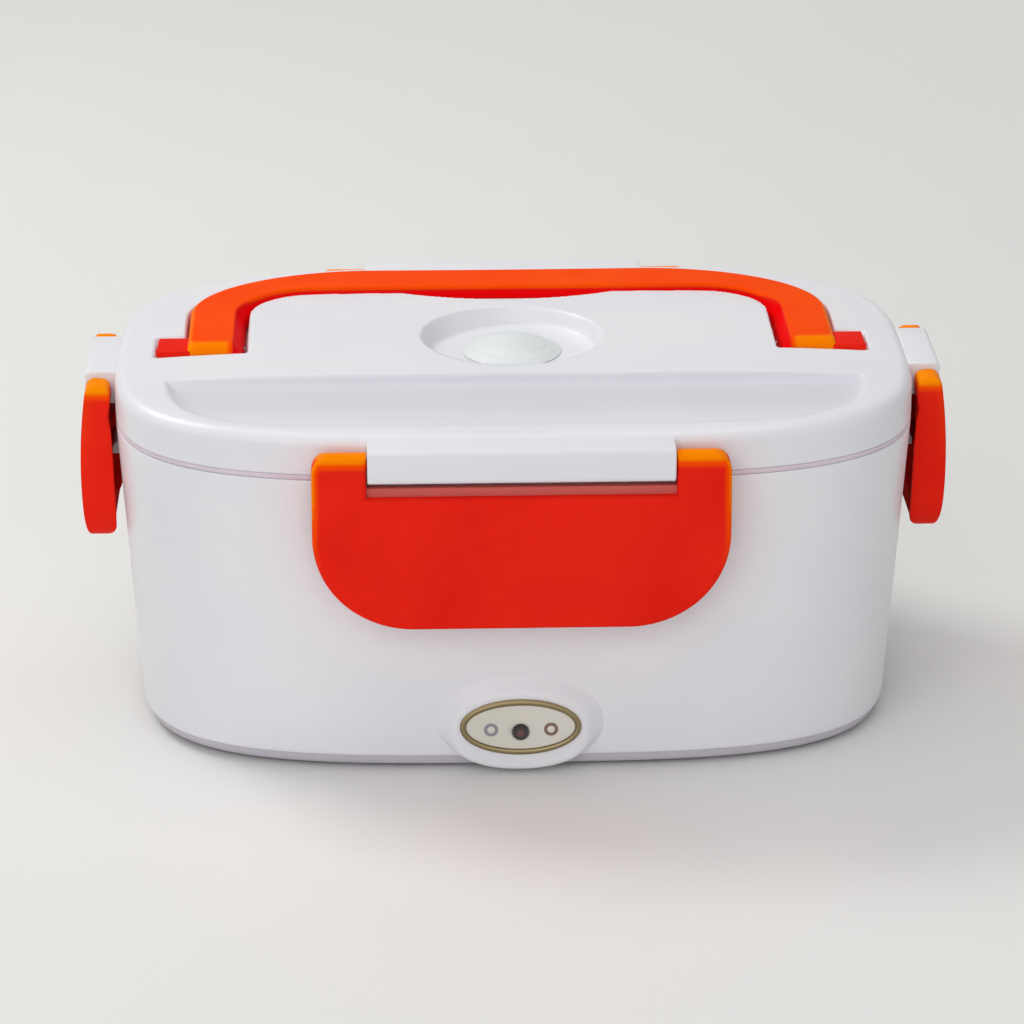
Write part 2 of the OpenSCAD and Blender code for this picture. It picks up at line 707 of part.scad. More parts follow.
module vent_recess(wall, low) {
    translate([0, lid_mid_y, low]) rotate_extrude($fn = 96)
        polygon([[0, 0], [recess_r - 2 + wall, 0], [recess_r + wall, recess_depth], [recess_r + wall, recess_depth + 4], [0, recess_depth + 4]]);
}

bar_in = 1.6;       // how deep a hinge bar is rooted in the lid's wall
latch_pivot_out = 4.8;
latch_pivot_z = skirt_z + 5.4;
pin_l = 4;
ear_gap = 0.3;

// A hinge bar with a pin socket in each end, drawn for the front with its pivot at the origin
module hinge_bar(length) {
    front = bar_out - latch_pivot_out;
    back = latch_pivot_out + bar_in;
    difference() {
        translate([0, (back - front) / 2, 0]) along_x(length) polygon(round_box(back + front, bar_h, 1.4, 4));
        for (s = [-1, 1]) translate([s * (length / 2 - pin_l / 2), 0, 0]) rotate([0, 90, 0])
            cylinder(r = latch_pin_r + fit, h = pin_l + 0.8, center = true);
    }
}

module lid_skin() {
    shoulder = [for (a = [30, 60, 88]) [shoulder_r * (1 - cos(a)), shoulder_z + shoulder_r * sin(a)]];
    loft(concat([[0, skirt_z], [0, shoulder_z]], shoulder, [for (i = lid_insets) [i, lid_top(i, 0)]]));
}

module lid_hollow() {
    loft(concat([[groove_in, skirt_z - eps], [groove_in, shoulder_z - 0.4], [groove_in + 3, shoulder_z + 1.4]],
        [for (i = [20, 38, 60]) [i, lid_top(i, lid_wall)]]));
}

module lid_shell() {
    recess_z = top_z - recess_depth;
    step_z = top_z - front_step;
    color("white") difference() {
        union() {
            difference() {
                lid_skin();
                lid_hollow();
            }
            intersection() {
                lid_skin();
                union() {
                    translate([0, 0, channel_z - lid_wall]) linear_extrude(height = top_z)
                        handle_plan(side_gap + lid_wall, 0);
                    slots(pocket_wall, slot_z - pocket_wall);
                    both_x() translate([slot_end_x, 0, pivot_z]) rotate([0, 90, 0]) cylinder(r = handle_pin_r + 2.4, h = socket_depth + 1.4);
                    scoop(lid_wall, channel_z - lid_wall + 1);
                    front_recess(lid_wall, step_z - lid_wall);
                    vent_recess(lid_wall, recess_z - lid_wall);
                    translate([0, lid_mid_y, recess_z - 5]) cylinder(r = stem_r + 3, h = 5);
                }
            }
            at_front(latch_pivot_out) translate([0, 0, latch_pivot_z]) hinge_bar(wide_bar_l);
            at_rear(latch_pivot_out) translate([0, 0, latch_pivot_z]) hinge_bar(wide_bar_l);
            at_left(latch_pivot_out) translate([0, 0, latch_pivot_z]) hinge_bar(side_bar_l);
            at_right(latch_pivot_out) translate([0, 0, latch_pivot_z]) hinge_bar(side_bar_l);
        }
        translate([0, 0, channel_z]) linear_extrude(height = top_z) intersection() {
            handle_plan(side_gap, slot_rear - eps);
            translate([-half_l, slot_rear - eps]) square([body_l, body_w]);
        }
        slots(0, slot_z);
        both_x() translate([slot_end_x - eps, 0, pivot_z]) rotate([0, 90, 0]) cylinder(r = handle_pin_r + fit, h = socket_depth + eps);
        scoop(0, channel_z + 1);
        front_recess(0, step_z);
        vent_recess(0, recess_z);
        translate([0, lid_mid_y, recess_z - 6]) cylinder(r = stem_r + fit, h = 7);
    }
}

liner_in = groove_in + 5.2;
liner_low_z = rim_z - 2;

// Inner panel: a shallow tray that closes the lid from below
module lid_liner() {
    wall = 1.6;
    top = skirt_z + 3.4;
    color("gainsboro") difference() {
        loft([[liner_in + 0.8, liner_low_z], [liner_in, liner_low_z + 1], [liner_in, top]]);
        loft([[liner_in + wall, liner_low_z + wall], [liner_in + wall, top + eps]]);
        for (a = [0:60:359]) translate([8 * cos(a), lid_mid_y + 8 * sin(a), liner_low_z - eps]) cylinder(r = 1.6, h = wall + 2 * eps);
    }
}

// Seal: a flange in the seam, a core between skirt and liner, and a lip inside the tub's mouth
module lid_seal() {
    core_in = groove_in + touch;
    back_in = liner_in - touch;
    lip_in = mouth_in + 0.5;
    color("thistle") difference() {
        union() {
            loft([[0.4, seam_z], [0.4, skirt_z - touch]]);
            loft([[core_in, seam_z], [core_in, skirt_z + 3]]);
            loft([[lip_in, liner_low_z - 0.4], [lip_in, skirt_z]]);
        }
        loft([[back_in, liner_low_z - 2], [back_in, skirt_z + 4]]);
    }
}

module vent_plug() {
    recess_z = top_z - recess_depth;
    dome_r = (plug_r * plug_r + plug_h * plug_h) / (2 * plug_h);
    color("snow") translate([0, lid_mid_y, recess_z + touch]) {
        intersection() {
            translate([0, 0, plug_h - dome_r]) sphere(r = dome_r, $fn = 96);
            cylinder(r = plug_r, h = plug_h + 1, $fn = 96);
        }
        translate([0, 0, -7]) cylinder(r = stem_r, h = 8);
    }
}

// ---- handle ----

module handle() {
    top = handle_low_z + handle_t;
    collar_r = 4;
    r = handle_t / 2;
    nose = arc(r - leg_front, handle_low_z + r, r, r, 270, 90, 8);
    color("orangered") {
        intersection() {
            translate([0, 0, handle_low_z]) linear_extrude(height = handle_t) handle_plan(0, -leg_front);
            along_x(body_l) polygon(concat(nose, [[handle_reach - 2, top], [handle_reach, top - 1.6],
                [handle_reach, handle_low_z + 1], [handle_reach - 1, handle_low_z]]));
        }
        both_x() translate([handle_l / 2 - 1, 0, pivot_z]) rotate([0, 90, 0]) {
            cylinder(r = collar_r, h = slot_end_x - seat - handle_l / 2 + 1);
            cylinder(r = handle_pin_r, h = slot_end_x + socket_depth - 0.4 - handle_l / 2 + 1);
        }
    }
}

// ---- latches ----

hub_r = 2.9;
face_out = 3;                   // how far the latch's face stands in front of its pivot at the top
face_bulge = 1.6;
notch_low = -bar_h / 2 - 3.7;   // upper edge of the latch's plate, under the hinge bar
hook_top = rib_z - 0.4 - latch_pivot_z;
hook_tip = latch_pivot_out - rib_out - seat;
hook_h = 2.4;
web_y = [-1.6, 0.6];            // the recessed web that closes the notch under the hinge bar
web_top = notch_low + 2.3;

// Outline of a latch seen from the front: two ears, a notch for the bar and a deep rounded skirt
function latch_half(hw, low, corner, ear_x, ear_top) = concat([[0, low]],
    arc(hw - corner[0], low + corner[1], corner[0], corner[1], 270, 360, 10),
    arc(hw - 5, ear_top - 5, 5, 5, 0, 90, 5), [[ear_x, ear_top], [ear_x, notch_low]]);

function latch_corner(hw) = [min(hw * 0.5, 27), min(hw * 0.5, 26)];

// Side view of a latch: curved face, round hub, and a back edge that follows the tub's draft
function face_y(w) = -face_out - face_bulge * (1 - pow((w + latch_drop / 2) / (latch_drop / 2), 2));
function latch_side(wall) = concat(
    [for (k = [0:8]) let (w = -latch_drop + wall + k * (latch_drop - wall) / 8) [face_y(w) + wall, w]],
    [[-face_out + wall, hub_r - 1.4 - wall], [-face_out + 1.4 + wall, hub_r - wall]]);

module latch_solid(bar_l, ear_w) {
    hw = bar_l / 2 + ear_gap + ear_w;
    corner = latch_corner(hw);
    half = latch_half(hw, -latch_drop, corner, bar_l / 2 + ear_gap, hub_r + eps);
    back_top = 1.6;
    back_low = hook_tip;
    intersection() {
        along_y(-10, 10) polygon(concat(half, mirrored(half)));
        along_x(body_l) polygon(concat(latch_side(0), arc(0, 0, hub_r, hub_r, 90, -20, 6),
            [[back_top, notch_low], [back_low, 5 - latch_drop], [back_low - 1.6, 1 - latch_drop], [back_low - 4, -latch_drop]]));
    }
}

module latch_hollow(bar_l, ear_w) {
    hw = bar_l / 2 + ear_gap + ear_w - latch_wall;
    corner = latch_corner(hw + latch_wall) - [latch_wall, latch_wall];
    low = -latch_drop + latch_wall;
    top = notch_low - latch_wall;
    half = concat([[0, low]], arc(hw - corner[0], low + corner[1], corner[0], corner[1], 270, 360, 10), [[hw, top]]);
    intersection() {
        along_y(-10, 10) polygon(concat(half, mirrored(half)));
        along_x(body_l) polygon(concat(latch_side(latch_wall), [[10, 0], [10, -latch_drop]]));
    }
}

// A latch drawn for the front, with its pivot at the origin and its back towards +Y
module latch(bar_l, ear_w) {
    hook_l = bar_l - 12;
    color("orangered") {
        difference() {
            latch_solid(bar_l, ear_w);
            latch_hollow(bar_l, ear_w);
        }
        along_x(bar_l + 2 * ear_gap + 2) polygon([[web_y[0], notch_low - 1], [web_y[0], web_top],
            [web_y[1], web_top], [web_y[1], notch_low - 1]]);
        translate([0, 0, hook_top]) along_x(hook_l)
            polygon([[face_y(hook_top) + 1, 0], [hook_tip, 0], [hook_tip, -hook_h * 0.5], [hook_tip - 1.2, -hook_h], [face_y(hook_top) + 1, -hook_h]]);
        for (s = [-1, 1]) translate([s * (bar_l / 2 + ear_gap / 2 - pin_l / 2 + 0.5), 0, 0]) rotate([0, 90, 0])
            cylinder(r = latch_pin_r, h = pin_l + ear_gap + 0.6, center = true);
    }
}

module front_latch() { at_front(latch_pivot_out) translate([0, 0, latch_pivot_z]) latch(wide_bar_l, wide_ear_w); }
module rear_latch() { at_rear(latch_pivot_out) translate([0, 0, latch_pivot_z]) latch(wide_bar_l, wide_ear_w); }
module left_latch() { at_left(latch_pivot_out) translate([0, 0, latch_pivot_z]) latch(side_bar_l, side_ear_w); }
module right_latch() { at_right(latch_pivot_out) translate([0, 0, latch_pivot_z]) latch(side_bar_l, side_ear_w); }

outer_shell();
cavity_liner();
heating_plate();
plate_seal();
heater_element();
heater_clamp();
clamp_nuts();
thermostat();
thermal_fuse();
led_board();
indicator_led();
base_cover();
base_screws();
rubber_feet();
inlet_socket();
inlet_pins();
panel_badge();
badge_ring();
lamp_lens();
live_lead();
fuse_lead();
neutral_lead();
lamp_leads();
food_container();
lid_shell();
lid_liner();
lid_seal();
vent_plug();
handle();
front_latch();
rear_latch();
left_latch();
right_latch();
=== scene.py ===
"""Electric lunch box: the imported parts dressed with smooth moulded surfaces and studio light.

Shapes are worked out in millimetres as whole numpy arrays and put into the meshes in metres.
The lengths below repeat the ones of the part's source.
"""
import json
import math

import bpy
import numpy as np
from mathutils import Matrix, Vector

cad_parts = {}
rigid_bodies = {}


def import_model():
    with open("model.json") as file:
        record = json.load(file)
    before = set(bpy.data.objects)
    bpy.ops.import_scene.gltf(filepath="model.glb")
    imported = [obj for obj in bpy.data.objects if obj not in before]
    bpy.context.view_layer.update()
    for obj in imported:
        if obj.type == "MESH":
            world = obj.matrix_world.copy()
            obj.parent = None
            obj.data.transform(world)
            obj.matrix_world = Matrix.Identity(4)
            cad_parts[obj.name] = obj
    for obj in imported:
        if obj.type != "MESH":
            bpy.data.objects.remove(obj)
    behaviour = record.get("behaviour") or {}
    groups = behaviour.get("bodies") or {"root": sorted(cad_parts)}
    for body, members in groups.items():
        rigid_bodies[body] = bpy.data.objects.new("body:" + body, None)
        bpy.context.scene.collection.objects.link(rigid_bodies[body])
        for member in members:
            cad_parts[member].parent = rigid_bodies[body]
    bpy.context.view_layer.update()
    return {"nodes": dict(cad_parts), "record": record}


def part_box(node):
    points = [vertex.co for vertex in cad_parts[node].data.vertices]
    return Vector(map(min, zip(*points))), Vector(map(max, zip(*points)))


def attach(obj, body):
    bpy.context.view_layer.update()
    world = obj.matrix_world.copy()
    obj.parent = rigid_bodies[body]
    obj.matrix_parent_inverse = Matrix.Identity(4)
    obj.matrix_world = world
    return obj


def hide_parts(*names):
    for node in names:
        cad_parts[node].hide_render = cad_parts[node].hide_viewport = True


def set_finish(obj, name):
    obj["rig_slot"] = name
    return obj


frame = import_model()

# ---- lengths of the box, in millimetres ----

HALF_L, HALF_W = 108.5, 72.5        # half sizes of the tub at its rim
RIM_Z, SHELL_Z = 85.0, 4.0
SQUARENESS = 3.4
DRAFT = 0.064
SHELL_WALL = 2.2
FOOT_ROUND, FOOT_LIFT = 8.0, 6.2
# the tub's outside near the floor: height, and inset from the drafted wall. The first row is the band's
# lower edge, level with the base cover's underside; the steep part near 4.4 is a small lip
FOOT_PROFILE = np.array([[1.4, 1.40], [3.1, 0.92], [3.9, 0.74], [4.1, 0.70], [4.25, 0.55],
                         [4.4, 0.33], [4.6, 0.18], [4.9, 0.09], [5.5, 0.03], [6.4, 0.0]])
FOOT_Z = FOOT_PROFILE[0, 0]
RIM_W, LEDGE_DROP, LEDGE_W = 5.3, 5.0, 3.7
LEDGE_Z = RIM_Z - LEDGE_DROP
FLOOR_Z, LINER_WALL = 17.0, 1.8
CONTAINER_WALL, CONTAINER_GAP, FLANGE_T = 1.6, 1.0, 2.0
SEAT = 0.3
SEAM_Z = RIM_Z + SEAT
SKIRT_Z = SEAM_Z + 1.0
SHOULDER_Z = SKIRT_Z + 7.7
SHOULDER_R, CROWN = 3.5, 2.1
BROW_Z = SHOULDER_Z + SHOULDER_R
TOP_Z = BROW_Z + CROWN
PIVOT_Z = TOP_Z - 4.9
HANDLE_HALF, LEG_W, REACH, GRIP_W, HANDLE_T = 89.0, 15.5, 60.5, 17.0, 7.4
LEG_FRONT, HANDLE_LOW = 6.4, PIVOT_Z - 1.9
HANDLE_CORNER, GRIP_CORNER = (50.0, 36.0), 19.0
SIDE_GAP = 1.2
CHANNEL_Z = HANDLE_LOW - SEAT
SLOT_X = (HANDLE_HALF - LEG_W - SIDE_GAP, HANDLE_HALF + 8.5)
SLOT_Y = (-9.2, 8.5)
SLOT_Z = PIVOT_Z - 7.3
SCOOP_W, SCOOP_REACH = 60.0, 7.2
RECESS_R, RECESS_DEPTH, LID_MID_Y = 25.0, 4.8, 3.0
VENT_FLOOR_Z = TOP_Z - RECESS_DEPTH
PIT_Z, LID_INNER_Z = 88.5, 90.2     # foot of the vent plug's hole, and the underside of the lid's top
PLUG_R, PLUG_H, STEM_R = 13.7, 4.4, 3.9
STEP_Y, STEP_DEPTH = -27.5, 4.0
BAR_OUT, BAR_IN, BAR_H = 8.0, 1.6, 9.2
LATCH_OUT, LATCH_Z = 4.8, SKIRT_Z + 5.4
LATCH_DROP, LATCH_WALL, HUB_R = 45.4, 2.2, 2.9
SIDE_DROP = 42.8                    # the side latches end a little higher
FACE_OUT, FACE_BULGE = 3.0, 1.6
EAR_GAP = 0.3
RIB_OUT, RIB_Z, RIB_H = 1.2, RIM_Z - 12.8, 3.6
WIDE_BAR, WIDE_EAR, SIDE_BAR, SIDE_EAR = 80.0, 14.2, 30.0, 9.0
BADGE_L, BADGE_H, BADGE_Z, BOSS_Y = 32.4, 15.8, 14.6, HALF_W - 1.0
LAMP_Z, LAMP_HOLE_R = BADGE_Z - 1.4, 2.3
INLET_Z = 9.4
SIDES = (("front", WIDE_BAR), ("rear", WIDE_BAR), ("left", SIDE_BAR), ("right", SIDE_BAR))


# ---- arrays to meshes ----

def smoothstep(t):
    """3t^2 - 2t^3 with t held between 0 and 1."""
    t = np.clip(t, 0, 1)
    return t * t * (3 - 2 * t)


def add_object(name, data):
    """Adds an object with this data to the scene."""
    added = bpy.data.objects.new(name, data)
    bpy.context.scene.collection.objects.link(added)
    return added


def smooth_mesh(name, points, faces):
    """A smooth mesh from points in metres and lists of corners."""
    mesh = bpy.data.meshes.new(name)
    mesh.from_pydata(points, [], faces)
    mesh.validate()
    mesh.update()
    mesh.polygons.foreach_set("use_smooth", np.ones(len(mesh.polygons), bool))
    return mesh


def make_mesh(name, points, faces, body, nodes, slot, edge=None):
    """A piece from points in millimetres, less the points that no face uses. It rides on a body and may
    stand for CAD nodes. `edge` is the colour share at each point, which the finishes use for painted light
    and shade."""
    points = np.asarray(points, float)
    used = np.zeros(len(points), bool)
    used[np.fromiter((corner for face in faces for corner in face), int)] = True
    number = (np.cumsum(used) - 1).tolist()
    faces = [[number[corner] for corner in face] for face in faces]
    mesh = smooth_mesh(name, points[used] * 0.001, faces)
    if edge is not None:
        layer = mesh.attributes.new("edge", "FLOAT", "POINT")
        layer.data.foreach_set("value", np.ravel(edge)[used].astype(np.float32))
    piece = add_object(name, mesh)
    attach(piece, body)
    if nodes:
        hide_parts(*nodes)
    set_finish(piece, slot)


def strip_quads(rows, cols, wrap_rows=False, wrap_cols=False, keep=None):
    """Corner numbers of the quads between neighbouring rows and columns of a grid."""
    r = np.arange(rows if wrap_rows else rows - 1)
    c = np.arange(cols if wrap_cols else cols - 1)
    rr, cc = np.meshgrid(r, c, indexing="ij")
    r2, c2 = (rr + 1) % rows, (cc + 1) % cols
    quads = np.stack([rr * cols + cc, rr * cols + c2, r2 * cols + c2, r2 * cols + cc], -1)
    return quads[keep] if keep is not None else quads.reshape(-1, 4)


def wall_quads(order):
    """Quads between the rows of corner numbers in a table whose rows are closed rings."""
    after = np.roll(order, -1, 1)
    return np.stack([order[:-1], order[1:], after[1:], after[:-1]], -1).reshape(-1, 4)


def fan(ring, pole, turned):
    """Triangles between a closed ring of corners and one pole."""
    a, b = ring, np.roll(ring, -1)
    tri = np.stack([a, b, np.full(len(ring), pole)], -1)
    return tri[:, ::-1] if turned else tri


def ring_piece(name, rings, body, nodes, slot, loop=False, edge=None, turned=False):
    """Skin through closed rings (array rows x corners x 3). A loop joins the last ring to the first;
    otherwise both ends are closed by a pole at the middle of the end ring."""
    rings = np.asarray(rings, float)
    rows, cols = rings.shape[:2]
    points = rings.reshape(-1, 3)
    faces = strip_quads(rows, cols, loop, True)
    faces = (faces[:, ::-1] if turned else faces).tolist()
    if not loop:
        points = np.vstack([points, rings[0].mean(0), rings[-1].mean(0)])
        first, last = np.arange(cols), (rows - 1) * cols + np.arange(cols)
        faces += fan(first, rows * cols, not turned).tolist()
        faces += fan(last, rows * cols + 1, turned).tolist()
        if edge is not None:
            edge = np.concatenate([np.ravel(edge), [0, 0]])
    make_mesh(name, points, faces, body, nodes, slot, edge)


# ---- outlines ----

def even_outline(count, n=SQUARENESS, a=HALF_L, b=HALF_W):
    """Unit corners (x/a, y/b) of the superellipse |x/a|^n + |y/b|^n = 1, spaced evenly along its length."""
    t = np.linspace(0, 2 * np.pi, 8001)
    u = np.sign(np.cos(t)) * np.abs(np.cos(t)) ** (2 / n)
    v = np.sign(np.sin(t)) * np.abs(np.sin(t)) ** (2 / n)
    run = np.concatenate([[0], np.cumsum(np.hypot(np.diff(u * a), np.diff(v * b)))])
    want = np.linspace(0, run[-1], count + 1)[:-1]
    return np.interp(want, run, u), np.interp(want, run, v)


def box_rings(stations, unit):
    """Rings of the box's outline; each station is (inset, height)."""
    u, v = unit
    inset, height = np.hsplit(np.asarray(stations, float), 2)
    return np.stack([(HALF_L - inset) * u, (HALF_W - inset) * v, np.repeat(height, len(u), 1)], -1)


def arc(ci, cz, ri, rz, a0, a1, k):
    """Points (ci + ri cos a, cz + rz sin a) for k + 1 angles from a0 to a1 degrees."""
    a = np.radians(np.linspace(a0, a1, k + 1))
    return np.stack([ci + ri * np.cos(a), cz + rz * np.sin(a)], -1)


def line(p, q, k):
    """k + 1 points from p to q."""
    t = np.linspace(0, 1, k + 1)[:, None]
    return np.asarray(p, float) * (1 - t) + np.asarray(q, float) * t


def oval_grown(a, b, n, count):
    """Returns a function that gives the corners of |x/a|^n + |y/b|^n = 1, with a and b grown by g."""
    u, v = even_outline(count, n, a, b)
    return lambda g: np.stack([u * (a + g), v * (b + g)], -1)


def block(y, z):
    """Corners of a rectangular section between two y and two z."""
    return [[y[0], z[0]], [y[0], z[1]], [y[1], z[1]], [y[1], z[0]]]


def box_far(qx, qy, r):
    """Signed distance to a box with corners of radius r, from the distances past its core."""
    return np.hypot(np.maximum(qx, 0), np.maximum(qy, 0)) + np.minimum(np.maximum(qx, qy), 0) - r


def drafted(inset):
    """Returns the inset, by height, of an inner wall that leans inwards from the ledge down."""
    return lambda z: inset + DRAFT * (LEDGE_Z - z)


def wall_inset(z):
    """Inset of the tub's wall at height z: the draft, and a rounding near the lower edge."""
    d = np.maximum(0, SHELL_Z + FOOT_LIFT - z)
    return DRAFT * (RIM_Z - z) + FOOT_ROUND - np.sqrt(FOOT_ROUND ** 2 - d * d)


def foot_inset(z):
    """Inset of the tub's outside at height z: the draft, and the profile near the floor."""
    return DRAFT * (RIM_Z - z) + np.interp(z, *FOOT_PROFILE.T)


def wall_y(x, z):
    """Half width of the tub at x and z: b (1 - |x/a|^n)^(1/n) with the inset half sizes."""
    s = wall_inset(np.maximum(z, SHELL_Z))
    return (HALF_W - s) * np.clip(1 - np.abs(x / (HALF_L - s)) ** SQUARENESS, 0, 1) ** (1 / SQUARENESS)


# ---- base ----

def make_tub_shell():
    """The tub's wall: its section (outside up, over the rim, inside down, lower edge) carried round the
    outline, with a gate at the rear where the power inlet passes through."""
    unit = list(even_outline(400))
    rim_z, rim_r, mouth_r, edge_r = RIM_Z - 0.15, 0.35, 0.4, 0.3
    inlet_half, inlet_top = 9.0, 14.3
    half_at_gate = HALF_L - wall_inset(9.0)                 # part way up the gate
    # a few corners at the rear are set to the gate's sides
    for side in (-1, 1):
        want = side * inlet_half / half_at_gate
        k = np.argmin(np.where(unit[1] > 0, np.abs(unit[0] - want), 9))
        unit[0][k] = want
        unit[1][k] = (1 - abs(want) ** SQUARENESS) ** (1 / SQUARENESS)
    zs = np.concatenate([[FOOT_Z + edge_r], FOOT_PROFILE[1:, 0],
                         [8.5, 11, inlet_top, 18, 26, 38, 50, 62, 74, 81, rim_z - rim_r]])
    outer = np.stack([foot_inset(zs), zs], -1)
    rim = arc(rim_r + DRAFT * rim_r, rim_z - rim_r, rim_r, rim_r, 160, 90, 4)
    rim_in = arc(SHELL_WALL - mouth_r, rim_z - mouth_r, mouth_r, mouth_r, 90, 0, 3)
    inner = np.stack([wall_inset(np.maximum(zs[::-1], SHELL_Z)) + SHELL_WALL, zs[::-1]], -1)
    foot_in, foot_out = wall_inset(SHELL_Z) + SHELL_WALL, foot_inset(FOOT_Z)
    foot = np.array([[foot_in - edge_r, FOOT_Z], [foot_out + edge_r, FOOT_Z]])
    section = np.vstack([outer, rim, rim_in, inner, foot])
    rings = box_rings(section, unit)
    rows, cols = rings.shape[:2]
    n = len(zs)
    in_gate = np.abs(unit[0] * half_at_gate) < inlet_half + 0.01
    gate_cols = (unit[1] > 0) & in_gate & np.roll(in_gate, -1)
    low_rows = np.zeros(rows, bool)
    cut = int(np.argmin(np.abs(zs - inlet_top)))
    low_rows[:cut] = True                                   # outside, from the edge up to the gate's top
    first_inner = n + len(rim) + len(rim_in)
    low_rows[first_inner + n - 1 - cut:] = True             # inside, and the lower edge
    keep = ~(low_rows[:, None] & gate_cols[None, :])
    faces = strip_quads(rows, cols, True, True, keep).tolist()
    # the gate's jambs and lintel join the outside to the inside
    gate = np.flatnonzero(gate_cols)
    for col, flip in ((gate[0], True), ((gate[-1] + 1) % cols, False)):
        out_rows = np.arange(cut + 1)
        in_rows = first_inner + n - 1 - out_rows
        a, b = out_rows * cols + col, in_rows * cols + col
        quads = np.stack([a[:-1], a[1:], b[1:], b[:-1]], -1)
        faces += (quads[:, ::-1] if flip else quads).tolist()
        f0, f1 = (rows - 2) * cols + col, (rows - 1) * cols + col
        low = [a[0], b[0], f0, f1]
        faces.append(low[::-1] if flip else low)
    top = np.concatenate([gate, [(gate[-1] + 1) % cols]])
    a, b = cut * cols + top, (first_inner + n - 1 - cut) * cols + top
    faces += np.stack([a[:-1], b[:-1], b[1:], a[1:]], -1).tolist()
    # painted shade: the band under the lip and the lower edge are darker and greyer, for the shade that
    # falls there
    painted_shade = np.zeros(rings.shape[:2])
    painted_shade[:5] = np.array([1, 1, 1, 1, 0.5])[:, None]
    painted_shade[-2:] = 1
    make_mesh("tub_shell", rings.reshape(-1, 3), faces, "base", ["outer_shell"], "white_shell", painted_shade)


def make_boss(name, grown, mid_z, face_y, side, flat, hole=None):
    """A boss on the tub's wall. Its flat face ends `flat` outside the plain outline. Above, it runs out on
    the wall as wall + (face - wall)(1 - smoothstep(s)). Below, where it hangs under the tub, a quarter
    round and a straight underside take its place, blended by height. `grown` gives the outline (x, z) for
    any growth, and `side` is -1 at the front and 1 at the rear."""
    brow, reach, droop = 1.5, 3.6, 1.0 if side < 0 else 0.0
    round_from, round_share, hole_depth, tail_depth = 0.15, 0.45, 9.0, 1.2
    rim = grown(0.0)
    upper = smoothstep((rim[:, 1] + mid_z - 4.5) / 9.0)[:, None]

    def outline(growth):
        """Corners for a growth that differs from corner to corner."""
        return rim + (grown(1.0) - rim) * growth

    def ring(xz, y):
        """Corners at x, z and at the depth y, which is one number or one for each."""
        return np.column_stack([xz[:, 0], np.broadcast_to(y, len(xz)), xz[:, 1] + mid_z])
    rows = []
    if hole is not None:
        rows += [ring(hole, face_y - hole_depth), ring(hole, face_y)]
    start = outline(np.full((len(rim), 1), flat))
    inner = np.zeros_like(rim) if hole is None else hole
    for f in (0.35, 0.7) if hole is None else (0.5,):
        rows.append(ring(inner * (1 - f) + start * f, face_y))
    for s in np.linspace(0, 1, 17):
        t = math.radians(90 * min(max((s - round_from) / round_share, 0), 1))
        low_growth = flat + (droop - brow - flat) * min(s / round_from, 1) + brow * math.sin(t)
        growth = (flat + s * (reach - flat)) * upper + low_growth * (1 - upper)
        xz = outline(growth)
        wall = wall_y(xz[:, 0], xz[:, 1] + mid_z) - 0.35 * s ** 4
        high_y = wall + (face_y - wall) * (1 - smoothstep(s))
        under = max(s - round_from - round_share, 0) / (1 - round_from - round_share)
        low_y = face_y - brow * (1 - math.cos(t)) + (wall - face_y + brow) * under
        rows.append(ring(xz, high_y * upper[:, 0] + low_y * (1 - upper[:, 0])))
    tail = rows[-1].copy()
    tail[:, 1] -= tail_depth
    rings = np.array(rows + [tail])
    rings[..., 1] *= side
    ring_piece(name, rings, "base", (), "white_shell", loop=hole is not None, turned=side < 0)


def make_front_boss():
    """The oval that carries the lamp panel."""
    margin = 3.4
    grown = oval_grown(BADGE_L / 2 + margin, BADGE_H / 2 + margin, 2.2, 96)
    make_boss("front_boss", grown, mid_z=BADGE_Z - 0.6, face_y=BOSS_Y, side=-1, flat=-2.6)


def make_rear_boss():
    """The rounded block round the power inlet, whose middle is `drop` under its own."""
    drop = 0.5
    grown = oval_grown(15.0, 7.8, 4.2, 96)
    hole = oval_grown(9.7, 5.6, 5.0, 96)(0.0) - [0, drop]
    make_boss("rear_boss", grown, mid_z=INLET_Z + drop, face_y=BOSS_Y, side=1, flat=-1.6, hole=hole)


def rounded_section(section, radius):
    """Rounds each corner V of a closed section with the curve (1-t)^2 P + 2t(1-t) V + t^2 Q, P and Q being
    the points at the radius before and after it."""
    v = np.asarray(section, float)
    before, after = np.roll(v, 1, 0) - v, np.roll(v, -1, 0) - v
    p = v + before / np.linalg.norm(before, axis=1)[:, None] * radius
    q = v + after / np.linalg.norm(after, axis=1)[:, None] * radius
    t = np.linspace(0, 1, 5)[None, :, None]
    return ((1 - t) ** 2 * p[:, None] + 2 * t * (1 - t) * v[:, None] + t ** 2 * q[:, None]).reshape(-1, 2)


def make_bar(name, section, length, body, place, slot, radius, end_radius, share=0.0):
    """A section (y, z) with rounded corners carried straight along x. Towards each end it shrinks by
    r - r sin(a) while it is r - r cos(a) from the end's plane, which rounds the end's edges."""
    ring = rounded_section(section, radius)
    middle = (ring.max(0) + ring.min(0)) / 2
    half = (ring.max(0) - ring.min(0)) / 2
    a = np.radians(np.linspace(0, 90, 5))
    run = np.concatenate([end_radius * (1 - np.cos(a)), length - end_radius * (1 - np.cos(a[::-1]))])
    shrink = np.concatenate([end_radius * (1 - np.sin(a)), end_radius * (1 - np.sin(a[::-1]))])
    yz = middle + (ring - middle)[None] * (1 - shrink[:, None, None] / half)
    x = np.repeat((run - length / 2)[:, None, None], len(ring), 1)
    area = np.sum(ring[:, 0] * np.roll(ring[:, 1], -1) - np.roll(ring[:, 0], -1) * ring[:, 1])
    rings = place(np.concatenate([x, yz], -1))
    ring_piece(name, rings, body, (), slot, edge=np.full(rings.shape[:2], share), turned=area < 0)


